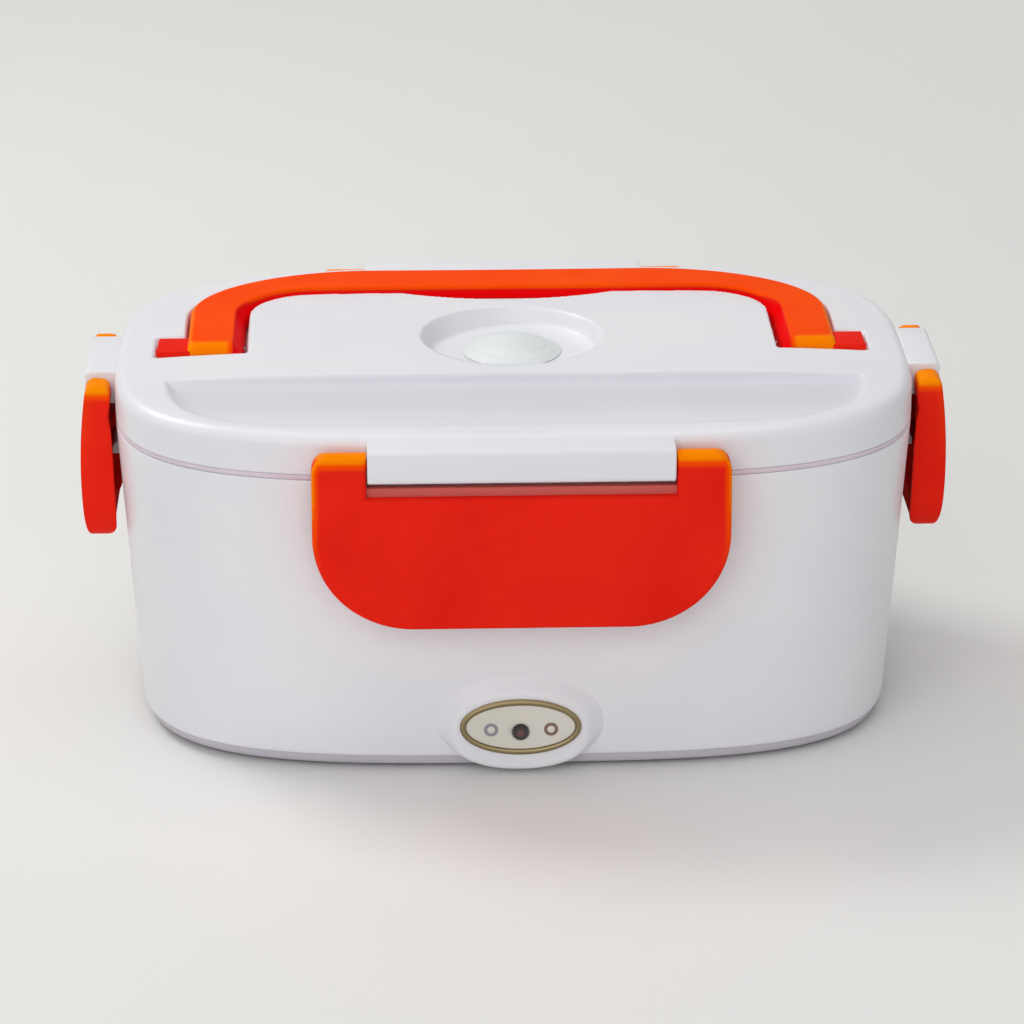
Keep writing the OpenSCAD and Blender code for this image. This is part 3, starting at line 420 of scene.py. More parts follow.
def side_place(which, out, lift):
    """Returns a function that moves points drawn for the front (origin on the wall, back towards +y) to a
    side of the box, `out` from its wall and up by `lift`."""
    turn = {"front": 0, "right": 90, "rear": 180, "left": 270}[which]
    c, s = round(math.cos(math.radians(turn))), round(math.sin(math.radians(turn)))
    d = (HALF_W if which in ("front", "rear") else HALF_L) + out

    def place(p):
        p = np.asarray(p, float)
        x, y = p[..., 0], p[..., 1] - d
        return np.stack([x * c - y * s, x * s + y * c, p[..., 2] + lift], -1)
    return place


def make_ribs():
    """The ribs that the latches' hooks reach under, with a bevelled upper edge."""
    depth, bevel = 4.6, 1.3
    section = [[0, 0], [0, RIB_H * 0.55], [bevel, RIB_H], [depth, RIB_H], [depth, 0]]
    for which, length in SIDES:
        place = side_place(which, RIB_OUT, RIB_Z)
        make_bar(f"rib_{which}", section, length - 2, "base", place, "white_shell", 0.3, 0.3)


def make_cavity():
    """The cavity liner: rim flange, mouth, ledge and drafted wall down to the floor, which is open in the
    middle for the heating plate."""
    r, floor_w = 5.0, 14                # rounding at the foot of the wall, and the floor's rim
    flange_in, cavity_in = SHELL_WALL + 0.1, RIM_W + LEDGE_W
    wall_in = drafted(cavity_in)
    inner = np.vstack([
        arc(flange_in + 0.3, RIM_Z - 0.3, 0.3, 0.3, 180, 90, 2),
        arc(RIM_W - 0.5, RIM_Z - 0.5, 0.5, 0.5, 90, 4, 3),
        line([RIM_W + 0.02, RIM_Z - 1], [RIM_W + DRAFT * LEDGE_DROP - 0.02, LEDGE_Z + 0.5], 2),
        arc(RIM_W + DRAFT * LEDGE_DROP + 0.4, LEDGE_Z + 0.4, 0.4, 0.4, 180, 270, 3),
        arc(cavity_in - 0.5, LEDGE_Z - 0.5, 0.5, 0.5, 90, 4, 3),
        line([wall_in(70), 70], [wall_in(FLOOR_Z + r + 1), FLOOR_Z + r + 1], 5),
        arc(wall_in(FLOOR_Z + r) + r, FLOOR_Z + r, r, r, 180, 268, 7),
        [[wall_in(FLOOR_Z) + floor_w, FLOOR_Z]]])
    low = FLOOR_Z - LINER_WALL
    outer = np.vstack([
        [[wall_in(low) + floor_w, low], [wall_in(low) + 4, low]],
        [[wall_in(low) - LINER_WALL + 1.2, low + 1.2], [wall_in(low + 4) - LINER_WALL, low + 4]],
        [[cavity_in - LINER_WALL, LEDGE_Z - LINER_WALL], [RIM_W - LINER_WALL, LEDGE_Z - 1.0]],
        [[RIM_W - LINER_WALL, RIM_Z - 2], [flange_in, RIM_Z - 2]]])
    rings = box_rings(np.vstack([inner, outer]), even_outline(240))
    ring_piece("cavity_shell", rings, "base", ["cavity_liner"], "white_liner", loop=True)


def make_badge():
    """Oval ring with a rounded section, and a plate with a slightly domed face and two small ring marks."""
    count = 128
    face_y, trim_w, trim_h, dome = BOSS_Y + 0.6, 1.5, 0.55, 0.06
    a, b = BADGE_L / 2, BADGE_H / 2

    def skin(rows):
        """Rings from rows of (outline round the badge's middle, height above its face)."""
        return np.array([np.column_stack([p[:, 0], np.full(count, -(face_y + d)), p[:, 1] + BADGE_Z])
                         for p, d in rows])
    grown = oval_grown(a, b, 2.0, count)
    section = np.vstack([[[0.02, -1.2], [0.02, 0.0]],
                         arc(-trim_w / 2, -0.1, trim_w / 2, trim_h, 10, 170, 8),
                         [[-trim_w, -0.5], [-trim_w, -1.2]]])
    trim = skin([(grown(g), d) for g, d in section])
    ring_piece("badge_trim", trim, "base", ["badge_ring"], "badge_gold", loop=True)
    t = 2 * np.pi * np.arange(count) / count
    way = np.column_stack([np.cos(t), np.sin(t)])
    hole = LAMP_HOLE_R * way + [0, LAMP_Z - BADGE_Z]
    edge_ring = oval_grown(a - trim_w - 0.1, b - trim_w - 0.1, 2.0, count)(0.0)
    rows = [(hole, -1.0), (hole, -0.15), (hole + 0.12 * way, -0.02)]
    rows += [(hole * (1 - f) + edge_ring * f, dome * (1 - f * f)) for f in (0.15, 0.35, 0.6, 0.85, 0.97)]
    rows += [(edge_ring, -0.1), (edge_ring, -1.0)]
    ring_piece("badge_face", skin(rows), "base", ["panel_badge"], "badge_plate", loop=True, turned=True)
    # each mark is a low ring: a flattened circle carried round a circle
    mark_r, mark_w, mark_h, mark_z = 1.45, 0.48, 0.11, LAMP_Z + 0.8
    u = 2 * np.pi * np.arange(40) / 40
    w = 2 * np.pi * np.arange(12)[:, None] / 12
    r = mark_r + mark_w * np.cos(w)
    y = np.repeat(-(face_y + 0.03 + mark_h * np.sin(w)), len(u), 1)
    for name, x, slot in (("badge_mark_left", -7.9, "lead_grey"), ("badge_mark_right", 8.1, "lead_brown")):
        rings = np.stack([x + r * np.cos(u), y, mark_z + r * np.sin(u)], -1)
        ring_piece(name, rings, "base", (), slot, loop=True)


# ---- container ----

def make_container():
    """The food container: rounded bottom, drafted wall and a flange that hangs on the ledge."""
    start = RIM_W + LEDGE_W + CONTAINER_GAP
    wall_in = drafted(start)
    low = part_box("food_container")[0].z * 1000
    top = LEDGE_Z + SEAT
    r, t = 6.0, CONTAINER_WALL
    flange_in = RIM_W + DRAFT * LEDGE_DROP + 0.4
    section = np.vstack([
        [[50, low], [wall_in(low) + r + 1, low]],
        arc(wall_in(low + r) + r, low + r, r, r, 272, 180, 8),
        line([wall_in(36), 36], [wall_in(top - 0.6), top - 0.6], 4),
        arc(wall_in(top) - 0.5, top - 0.5, 0.5, 0.5, 0, 90, 3),
        arc(flange_in + 0.3, top + 0.3, 0.3, 0.3, 270, 180, 2),
        arc(flange_in + 0.6, top + FLANGE_T - 0.6, 0.6, 0.6, 180, 90, 4),
        arc(start + t - 0.7, top + FLANGE_T - 0.7, 0.7, 0.7, 90, 4, 4),
        line([wall_in(70) + t, 70], [wall_in(low + r + 3) + t, low + r + 3], 4),
        arc(wall_in(low + r) + t + r, low + t + r, r, r, 180, 268, 8),
        [[wall_in(low) + 12, low + t], [50, low + t]]])
    rings = box_rings(section, even_outline(240))
    ring_piece("container", rings, "container", ["food_container"], "white_container")


# ---- lid ----

def lid_top(x, y):
    """Height of the lid's crown: the inset i whose superellipse passes through (x, y) is found by halving,
    and the height is brow + crown (1 - (1 - i/57)^2)."""
    full = 57.0                         # inset at which the crown is at its highest
    lo, hi = np.zeros_like(x), np.full_like(x, HALF_W - 0.5)
    for _ in range(26):
        mid = (lo + hi) / 2
        outside = np.abs(x / (HALF_L - mid)) ** SQUARENESS + np.abs(y / (HALF_W - mid)) ** SQUARENESS > 1
        hi = np.where(outside, mid, hi)
        lo = np.where(outside, lo, mid)
    i = np.clip(lo - SHOULDER_R, 0, full)
    return BROW_Z + CROWN * (1 - (1 - i / full) ** 2)


def rounded_corner_far(x, y, half, rear, cx, cy):
    """Signed distance to a plan that is straight at x = half and y = rear with an elliptic corner cx by cy.
    Past the corner's middle it is k (k - 1) / |gradient|, with k the ellipse's own measure."""
    x = np.abs(x)
    u, v = (x - (half - cx)) / cx, (y - (rear - cy)) / cy
    k = np.sqrt(u * u + v * v) + 1e-9
    slope = np.sqrt((u / cx) ** 2 + (v / cy) ** 2) + 1e-9
    straight = np.maximum(x - half, np.where(v > 0, y - rear, -99))
    return np.where((u > 0) & (v > 0), k * (k - 1) / slope, straight)


def cut_fields(x, y):
    """Each hollow in the lid's top as (signed distance, negative inside; floor height; width of its edge's
    step; whether the step's foot is eased out)."""
    edge_y = REACH - GRIP_W - SIDE_GAP
    grown, shrunk = np.array([HANDLE_HALF, REACH, *HANDLE_CORNER]) + SIDE_GAP, GRIP_CORNER - SIDE_GAP
    outer = rounded_corner_far(x, y, *grown)
    inner = rounded_corner_far(x, y, SLOT_X[0], edge_y, shrunk, shrunk)
    channel = np.maximum(np.maximum(outer, -inner), SLOT_Y[1] - 1 - y)
    slot_r = 1.5
    qx = np.abs(np.abs(x) - sum(SLOT_X) / 2) - (SLOT_X[1] - SLOT_X[0]) / 2 + slot_r
    qy = np.abs(y - sum(SLOT_Y) / 2) - (SLOT_Y[1] - SLOT_Y[0]) / 2 + slot_r
    slots = box_far(qx, qy, slot_r)
    radius = ((SCOOP_W / 2) ** 2 + SCOOP_REACH ** 2) / (2 * SCOOP_REACH)
    scoop = np.maximum(np.hypot(x, y - (edge_y - SCOOP_REACH + radius)) - radius, y - edge_y - 1)
    n, a, b = 5.0, HALF_L - 14, HALF_W - 8          # power and half sizes of the front recess's outline
    k = (np.abs(x / a) ** n + np.abs(y / b) ** n) ** (1 / n) + 1e-9
    slope = k ** (1 - n) * np.hypot(np.abs(x) ** (n - 1) / a ** n, np.abs(y) ** (n - 1) / b ** n) + 1e-9
    recess = np.maximum((k - 1) / slope, y - STEP_Y)
    vent = np.hypot(x, y - LID_MID_Y) - RECESS_R
    return [(channel, CHANNEL_Z, 1.2, False),
            (slots, SLOT_Z, 1.2, False),
            (scoop, CHANNEL_Z + 1, 1.4, False),
            (recess, TOP_Z - STEP_DEPTH, 6.5, True),
            (vent, VENT_FLOOR_Z, 2.0, False)]


def lid_relief(x, y):
    """Height of the lid's top: the crown, lowered to each hollow's floor with a step at its edge. The step
    is smoothstep(s), or where its foot is eased s^2.4, which smoothstep takes to 1 in its last part."""
    crown = lid_top(x, y)
    z = crown.copy()
    brink, pit_edge = 0.86, 0.8
    for far, floor, width, eased in cut_fields(x, y):
        s = np.clip((far + width) / width, 0, 1)
        last = smoothstep((s - brink) / (1 - brink))
        step = s ** 2.4 * (1 - last) + last if eased else smoothstep(s)
        z = np.minimum(z, floor + (crown - floor) * step)
    pit = np.hypot(x, y - LID_MID_Y) - STEM_R - 0.1
    pit_z = PIT_Z + (VENT_FLOOR_Z - PIT_Z) * smoothstep((pit + pit_edge) / pit_edge)
    return np.where(pit > 0, z, np.minimum(z, pit_z))


def spaced(stops):
    """Numbers that run through (from, to, step) stretches."""
    parts = [np.linspace(a, b, max(1, round((b - a) / step)) + 1)[:-1] for a, b, step in stops]
    return np.concatenate(parts + [[stops[-1][1]]])


def make_lid():
    """Crowned top with its hollows, on a grid whose border is the shoulder's ring, welded to the shoulder,
    the skirt and the inside wall, and closed underneath."""
    shoulder_in = SHOULDER_R * (1 - math.cos(math.radians(86)))
    a, b = HALF_L - shoulder_in, HALF_W - shoulder_in
    # the grid is finer where the slots' ends and the recess's rear edge run
    u = spaced([(-a, -96, 1.0), (-96, -70, 0.45), (-70, 70, 0.70), (70, 96, 0.45), (96, a, 1.0)]) / a
    v = spaced([(-b, -31, 1.3), (-31, -24, 0.4), (-24, -12, 1.0), (-12, 63.5, 0.53), (63.5, b, 0.9)]) / b
    uu, vv = np.meshgrid(u, v)
    square = np.maximum(np.abs(uu), np.abs(vv))
    superoval = (np.abs(uu) ** SQUARENESS + np.abs(vv) ** SQUARENESS) ** (1 / SQUARENESS) + 1e-12
    pull = 1 + (square / superoval - 1) * square ** 3
    x, y = a * uu * pull, b * vv * pull
    z = lid_relief(x, y)
    rows, cols = z.shape
    points = np.stack([x, y, z], -1).reshape(-1, 3)
    faces = strip_quads(rows, cols)
    index = np.arange(rows * cols).reshape(rows, cols)
    border = np.concatenate([index[0, :-1], index[:-1, -1], index[-1, :0:-1], index[:0:-1, 0]])
    unit = (points[border, 0] / a, points[border, 1] / b)
    skirt_w, skirt_r = 2.4, 0.35
    down = np.vstack([
        arc(SHOULDER_R, SHOULDER_Z, SHOULDER_R, SHOULDER_R, 102, 180, 8),
        line([0, SHOULDER_Z - 1.5], [0, SKIRT_Z + 0.7], 2),
        arc(skirt_r, SKIRT_Z + 0.1 + skirt_r, skirt_r, skirt_r, 180, 270, 3),
        arc(skirt_w - 0.5, SKIRT_Z + 0.5, 0.5, 0.5, 270, 360, 3),
        [[skirt_w, LID_INNER_Z - 0.2], [8, LID_INNER_Z], [40, LID_INNER_Z]]])
    rings = box_rings(down, unit)
    count = len(border)
    base = len(points)
    points = np.vstack([points, rings.reshape(-1, 3), [[0, 0, LID_INNER_Z]]])
    order = np.vstack([border, base + np.arange(len(down) * count).reshape(len(down), count)])
    closing = np.stack([order[-1], np.full(count, len(points) - 1), np.roll(order[-1], -1)], -1)
    painted_shade = np.zeros(len(points))
    # painted shade: the front recess is darker and greyer, most of all towards its rear, where its step
    # casts shade
    fade = 1 - 0.75 * smoothstep((STEP_Y - y - 8) / 26)
    recess = cut_fields(x, y)[3][0]
    painted_shade[:base] = (0.55 * smoothstep(-recess / 1.6) * fade).ravel()
    faces = faces.tolist() + wall_quads(order).tolist() + closing.tolist()
    make_mesh("lid_top", points, faces, "lid", ["lid_shell"], "white_shell", painted_shade)


def make_hinge_bars():
    """Rounded bars that carry the latches."""
    section = block((LATCH_OUT - BAR_OUT, LATCH_OUT + BAR_IN), (-BAR_H / 2, BAR_H / 2))
    for which, length in SIDES:
        place = side_place(which, LATCH_OUT, LATCH_Z)
        make_bar(f"hinge_bar_{which}", section, length, "lid", place, "white_shell", 1.5, 0.5)


def make_seal():
    """The seal: a flange in the seam, a core behind the skirt and a soft lip inside the tub's mouth."""
    lip_in, low, edge_r, core = RIM_W + 0.5, RIM_Z - 2.4, 0.30, (2.5, 7.5)
    section = np.vstack([
        arc(0.12 + edge_r, SEAM_Z + 0.32, edge_r, 0.68, 260, 100, 6),
        [[core[0], SKIRT_Z - 0.06], [core[0], SKIRT_Z + 3], [core[1], SKIRT_Z + 3], [core[1], low + 0.4]],
        arc(6.7, low + 0.7, 0.8, 0.7, 330, 190, 5),
        [[lip_in + 0.15, low + 1.6], [lip_in, SEAM_Z]]])
    rings = box_rings(section, even_outline(240))
    ring_piece("seal", rings, "lid", ["lid_seal"], "seal_silicone", loop=True)


def make_vent_plug():
    """A turned shape: a sphere's low cap with a ring groove 0.18 exp(-((r - 10.2) / 0.35)^2) deep, on a
    stem that narrows at its end."""
    floor = VENT_FLOOR_Z + 0.1
    dome_r = (PLUG_R ** 2 + PLUG_H ** 2) / (2 * PLUG_H)
    groove_r, groove_w, groove_depth = 10.2, 0.35, 0.18
    r = np.array([0.05, 1, 2.5, 4, 6, 8, 9.3, 9.8, groove_r, 10.6, 11.2, 12.2, 13.0, 13.4])
    groove = groove_depth * np.exp(-((r - groove_r) / groove_w) ** 2)
    z = PLUG_H - dome_r + np.sqrt(dome_r ** 2 - r ** 2) - groove
    profile = np.vstack([
        np.column_stack([r, z]),
        [[PLUG_R, 0.22], [PLUG_R, 0.05], [PLUG_R - 0.2, 0], [STEM_R, 0]],
        [[STEM_R, -5.2], [STEM_R - 0.3, -6.4], [STEM_R - 0.9, -7], [0.05, -7]]])
    r, z = np.hsplit(profile, 2)
    t = 2 * np.pi * np.arange(96) / 96
    rings = np.stack([r * np.cos(t), r * np.sin(t) + LID_MID_Y, np.repeat(floor + z, len(t), 1)], -1)
    ring_piece("vent_dome", rings, "vent", ["vent_plug"], "vent_silicone", turned=True)


# ---- handle ----

def make_handle():
    """The handle: at each step along its U the section spans from the inner to the outer edge; its top and
    bottom are flat with rounded edges, and its ends close in a half-round nose."""
    nose_steps = 14
    lead = 1 - np.cos(np.linspace(0, np.pi / 2, nose_steps))
    nose = HANDLE_T / 2
    y_nose = -LEG_FRONT + nose * lead

    def side(half, rear, cx, cy):
        """One edge of the U from a nose to the middle of the grip: leg, elliptic bend, half of the grip."""
        ys = np.concatenate([y_nose, np.linspace(-LEG_FRONT + nose, rear - cy, 14)[1:]])
        leg = np.column_stack([np.full(len(ys), half), ys])
        bend = arc(half - cx, rear - cy, cx, cy, 0, 90, 46)[1:]
        grip = np.column_stack([np.linspace(half - cx, 0, 20)[1:], np.full(19, rear)])
        return np.vstack([leg, bend, grip])
    outer = side(HANDLE_HALF, REACH, *HANDLE_CORNER)
    inner = side(HANDLE_HALF - LEG_W, REACH - GRIP_W, GRIP_CORNER, GRIP_CORNER)
    mirror = np.array([-1, 1])
    outer = np.vstack([outer, (outer[-2::-1] * mirror)])
    inner = np.vstack([inner, (inner[-2::-1] * mirror)])
    steps = len(outer)
    # half thickness along the U, which closes at both noses
    half_t = np.full(steps, HANDLE_T / 2)
    closing = np.maximum(np.sqrt(np.clip(1 - (1 - lead) ** 2, 0, 1)) * nose, 0.02)
    half_t[:nose_steps] = closing
    half_t[-nose_steps:] = closing[::-1]
    # section: side of the U (0 outer, 0.5 its middle, 1 inner), distance in from it, distance below the
    # top, colour share. The share paints light and shade: orange on the lit top, a painted glint along the
    # top's outer rounding, deep red as painted shade underneath. The inner side slants on the legs and is
    # plain red there, as painted shade; along the grip it stands nearly upright. The noses are a clearer
    # orange on top, a painted highlight
    grip = smoothstep((outer[:, 1] - 22) / 26)
    top_r, inner_r, low_r, slant = 1.7, 0.9, 1.0, 2.6 - 1.9 * grip
    top = 0.6 + 0.3 * smoothstep((-1.6 - outer[:, 1]) / 1.4)
    section = []
    for t in np.radians(np.linspace(0, 90, 6)):
        glint = 0.25 * math.sin(2 * t) * (t > 0.2)
        section.append((0, top_r * (1 - math.cos(t)), top_r * (1 - math.sin(t)), top + glint))
    section += [(0, 3.4, 0, top), (0.5, 0, 0, top), (1, slant + 2.2, 0, top)]
    for t in np.radians(np.linspace(90, 10, 6)):
        share = 0.6 - 1.6 * (1 - grip) * math.cos(t) ** 2
        section.append((1, slant + inner_r * (1 - math.cos(t)), inner_r * (1 - math.sin(t)), share))
    section += [(1, slant * 0.8, 1.5, -1), (1, slant * 0.5, 3.2, -1), (1, 0.1, HANDLE_T - low_r, -1)]
    section += [(1, low_r, HANDLE_T, 0), (0.5, 0, HANDLE_T, 0)]
    for t in np.radians(np.linspace(90, 0, 4)):
        section.append((0, low_r * (1 - math.cos(t)), HANDLE_T - low_r * (1 - math.sin(t)), 0))
    span = inner - outer
    width = np.linalg.norm(span, axis=1)
    way = span / width[:, None]
    mid_z = HANDLE_LOW + HANDLE_T / 2
    rings, edges = [], []
    for base, into, fall, share in section:
        into = np.broadcast_to(into, steps)[:, None]
        at = outer + span * base + way * (into if base == 0 else -into if base == 1 else 0)
        rings.append(np.column_stack([at, mid_z + half_t * (1 - 2 * fall / HANDLE_T)]))
        edges.append(np.broadcast_to(share, steps))
    rings, edges = np.array(rings).transpose(1, 0, 2), np.array(edges).T
    ring_piece("carry_handle", rings, "handle", ["handle"], "orange_plastic", False, edges, True)


def turned_x(name, profile, body, place, side, count):
    """A turned orange piece about a line along x: profile is (x, radius), `side` -1 mirrors it."""
    t = 2 * np.pi * np.arange(count) / count
    x, r = np.hsplit(np.asarray(profile, float), 2)
    rings = np.stack([np.repeat(side * x, count, 1), r * np.cos(t), r * np.sin(t)], -1)
    ring_piece(name, place(rings), body, (), "orange_plastic", turned=side < 0)


def make_pivots():
    """Hub and pin on the outside of each leg. The hub is a disc whose top is cut flat, so that it fills the
    lid's slot at rest and turns inside it."""
    x0, x1 = HANDLE_HALF - 1.5, SLOT_X[1] - SEAT
    disc_r, flat_z, pin_r = 6.9, 3.9, 2.4
    cut = math.degrees(math.asin(flat_z / disc_r))
    section = arc(0, 0, disc_r, disc_r, 180 - cut, 360 + cut, 26)
    pin = [[x1 - 0.6, 0.05], [x1 - 0.6, pin_r],
           [x1 + 3.0, pin_r], [x1 + 3.3, pin_r - 0.3], [x1 + 3.3, 0.05]]

    def placed(middle):
        """Moves points from the pivot's line to a place along it."""
        return lambda p: p + np.array([middle, 0.0, PIVOT_Z])
    for name, side in (("left", -1), ("right", 1)):
        hub_place = placed(side * (x0 + x1) / 2)
        make_bar(f"pivot_{name}", section, x1 - x0, "handle", hub_place, "orange_plastic", 0.35, 0.6)
        turned_x(f"pivot_pin_{name}", pin, "handle", placed(0.0), side, 48)


# ---- latches ----

def face_line(w):
    """The latch's front face from the side: -3 - 1.6 (1 - ((w + 22.7) / 22.7)^2)."""
    return -FACE_OUT - FACE_BULGE * (1 - ((w + LATCH_DROP / 2) / (LATCH_DROP / 2)) ** 2)


def latch_surface(bar_l, ear_w, drop, along, out, ear_r, edge_r, painted_side_light):
    """Outer and inner skins of a latch as heights over a grid that follows its outline: two ears and a face
    with round lower corners. Heights fall away by r - sqrt(r^2 - (r - d)^2) at distance d from an edge.
    `drop` is how far it hangs; `along` and `out` are the tub's half sizes along it and across it; ear_r and
    edge_r round the ears' corners and the edges; painted_side_light is how much painted highlight, in
    orange, its side edges get."""
    half = bar_l / 2 + EAR_GAP + ear_w
    ear_x = bar_l / 2 + EAR_GAP
    low, top = -drop, HUB_R
    notch = -BAR_H / 2 - 3.7            # under the bar, where the face begins
    corner = min(half * 0.5, 26.5)
    fine = np.array([0, .04, .1, .2, .35, .55, .8, 1.1, 1.5, 2.0, 2.7])
    middle = np.linspace(low + 2.7, notch - 2.7, 34)[1:-1]
    rows_low = np.concatenate([low + fine, middle, notch - fine[::-1]])
    ears = np.linspace(notch + 1.5, top - 2.0, 10)[1:-1]
    rows_top = np.concatenate([notch + fine[:9], ears, top - fine[9::-1]])
    w = np.concatenate([rows_low, rows_top[1:]])
    join = len(rows_low) - 1
    # half width of the outline at each row
    d = np.clip(low + corner - w, 0, corner)
    e = np.clip(w - (top - ear_r), 0, ear_r)
    hw = half - corner + np.sqrt(corner ** 2 - d ** 2) - ear_r + np.sqrt(ear_r ** 2 - e ** 2)
    inner_part = np.linspace(0, 1, 25)[:-1]
    t = np.concatenate([fine / 2.7 * 0.28, np.linspace(0.28, 0.72, 10)[1:-1], 1 - fine[::-1] / 2.7 * 0.28])
    mid_x = np.where(w >= notch, ear_x, ear_x * hw / half)
    near = 1 - (1 - inner_part) ** 1.6
    right = np.concatenate([mid_x[:, None] * near, mid_x[:, None] + (hw - mid_x)[:, None] * t], 1)
    x = np.concatenate([-right[:, :0:-1], right], 1)
    z = np.repeat(w[:, None], x.shape[1], 1)

    def inside(half, low, corner, ear_x, notch, top, ear_r):
        """Distance in from an outline: a box with two corner radii, less the gap between its ears."""
        ax, lower = np.abs(x), z < (low + top) / 2
        c = np.where(lower, corner, ear_r)
        qx = ax - half + c
        qz = np.where(lower, low + c - z, z - top + c)
        return -np.maximum(box_far(qx, qz, c), np.minimum(ear_x - ax, z - notch))
    d = np.maximum(inside(half, low, corner, ear_x, notch, top, ear_r), 0)

    def edge_fall(r):
        """How far an edge of radius r has fallen away at d."""
        return r - np.sqrt(np.maximum(0, r * r - np.maximum(0, r - d) ** 2))
    fall = edge_fall(edge_r)
    front = face_line(z) + fall
    over_hub = -np.sqrt(np.maximum((HUB_R + 0.2) ** 2 - np.maximum(z, 0) ** 2, 0)) - 0.02 + fall * 0.2
    front = np.where(z > 0, np.maximum(front, over_hub), front)
    # back edge (height, depth): a round end, a line just clear of the tub's wall when the latch is shut,
    # and the hub
    end = [(low, 0.6), (low + 0.5, 2.0), (low + 1.3, 3.0), (low + 2.5, 3.7), (low + 4.2, 4.1)]
    cheek = [(-33, 4.1), (-18, 3.75), (-10, 3.45), (-7.4, 3.3), (-5.6, 3.3), (-3.6, 3.65), (-1.5, 3.9)]
    hub = [(0, 3.9), (1.2, 3.75), (2.0, 3.4), (2.5, 2.8), (2.75, 2.2), (HUB_R, 0.9)]
    # the wall behind runs away towards the latch's ends, and the cheeks follow it
    away = out * (1 - (1 - np.abs(x / along) ** SQUARENESS) ** (1 / SQUARENESS))
    back_edge = np.interp(z, *np.transpose(end + cheek + hub))
    back_edge = back_edge + 0.8 * away * smoothstep((-4 - z) / 6) * smoothstep((z - low) / 4)
    t, ceiling = LATCH_WALL, notch - LATCH_WALL
    within = inside(half - t, low + t, corner - t, 0.0, ceiling, ceiling, 0.6)
    hollow = np.where(z < notch, smoothstep(within / 0.9), 0)
    back = (back_edge - edge_fall(0.5)) * (1 - hollow) + (face_line(z) + t) * hollow
    back = np.maximum(back, front + 0.25)
    # colour share, painted light: a painted highlight in clear orange over the ears' tops, fading down the
    # side edges, none along the notch
    crest_highlight = smoothstep(1.15 - (top - z) / 4.0)
    side = smoothstep(1 - (hw[:, None] - np.abs(x)) / 2.6) * smoothstep((z + 36) / 30)
    return x, z, front, back, np.maximum(crest_highlight, painted_side_light * side), crest_highlight, join, ear_x, notch


def make_latch(which, bar_l, **form):
    """One latch: both skins, stitched along the outline by a wall with a few rows, with its hook, the web
    under the bar and two pins. `form` is what latch_surface needs beyond the bar's length."""
    x, z, front, back, edge, crest_highlight, join, ear_x, notch = latch_surface(bar_l, **form)
    rows, cols = x.shape
    between_ears = np.abs((x[join, :-1] + x[join, 1:]) / 2) < ear_x
    keep = ~((np.arange(rows - 1)[:, None] >= join) & between_ears[None, :])
    faces_front = strip_quads(rows, cols, keep=keep)
    index = np.arange(rows * cols).reshape(rows, cols)
    ears = np.flatnonzero(np.abs(x[join]) > ear_x - 1e-6)
    left_in, right_in = ears[ears < cols // 2].max(), ears[ears > cols // 2].min()
    loop = np.concatenate([
        index[0, :-1], index[:-1, -1], index[-1, :right_in:-1], index[:join:-1, right_in],
        index[join, right_in:left_in:-1], index[join:-1, left_in],
        index[-1, left_in:0:-1], index[:0:-1, 0]])
    pf = np.stack([x, front, z], -1).reshape(-1, 3)
    pb = np.stack([x, back, z], -1).reshape(-1, 3)
    n = rows * cols
    # the wall between the skins takes a falling part of the front's painted light, row by row
    wall_share = np.array([0.55, 0.3, 0.15, 0.05])[:, None]     # of the front's colour share, row by row
    wall_rows = len(wall_share)
    t = np.linspace(0, 1, wall_rows + 2)[1:-1, None, None]
    wall = pf[loop][None] * (1 - t) + pb[loop][None] * t
    points = np.vstack([pf, pb, wall.reshape(-1, 3)])
    order = np.vstack([loop, 2 * n + np.arange(wall_rows * len(loop)).reshape(wall_rows, -1), n + loop])
    faces = faces_front.tolist() + (faces_front + n)[:, ::-1].tolist() + wall_quads(order).tolist()
    wall_edge = np.maximum(crest_highlight.reshape(-1)[loop], edge.reshape(-1)[loop] * wall_share)
    edges = np.concatenate([edge.ravel(), crest_highlight.ravel(), wall_edge.ravel()])
    place = side_place(which, LATCH_OUT, LATCH_Z)
    body = f"{which}_latch"
    make_mesh(f"latch_{which}", place(points), faces, body, [body], "orange_plastic", edges)
    # hook: a bevelled ledge that reaches under the rib
    hook_top, hook_h, bevel = RIB_Z - 0.4 - LATCH_Z, 2.4, 1.2
    tip = LATCH_OUT - RIB_OUT - SEAT
    root = float(face_line(hook_top)) + 1
    hook = [[root, hook_top], [tip, hook_top], [tip, hook_top - hook_h + bevel],
            [tip - bevel, hook_top - hook_h], [root, hook_top - hook_h]]
    make_bar(f"hook_{which}", hook, bar_l - 12, body, place, "orange_plastic", 0.25, 0.25)
    # the web under the bar has the share -2: dusky red, as painted shade under the bar
    web = block((-1.6, 0.6), (notch - 1, notch + 2.3))
    make_bar(f"web_{which}", web, bar_l + 2 * EAR_GAP + 2, body, place, "orange_plastic", 0.3, 0.3, -2.0)
    pin_r, pin_end = 1.4, -bar_l / 2 + 3.4
    pin = [[-bar_l / 2 - 0.8, pin_r], [pin_end, pin_r], [pin_end + 0.1, 0.05]]
    for letter, side in (("a", -1), ("b", 1)):
        turned_x(f"latch_pin_{which}_{letter}", pin, body, place, side, 24)


make_tub_shell()
make_front_boss()
make_rear_boss()
make_ribs()
make_cavity()
make_badge()
make_container()
make_lid()
make_hinge_bars()
make_seal()
make_vent_plug()
make_handle()
make_pivots()
wide = {"ear_w": WIDE_EAR, "drop": LATCH_DROP, "along": HALF_L, "out": HALF_W,
        "ear_r": 5.0, "edge_r": 1.3, "painted_side_light": 0.95}
narrow = {"ear_w": SIDE_EAR, "drop": SIDE_DROP, "along": HALF_W, "out": HALF_L,
          "ear_r": 2.6, "edge_r": 1.0, "painted_side_light": 0.2}
for which, bar_l in SIDES:
    make_latch(which, bar_l, **(wide if bar_l == WIDE_BAR else narrow))


# ---- materials ----

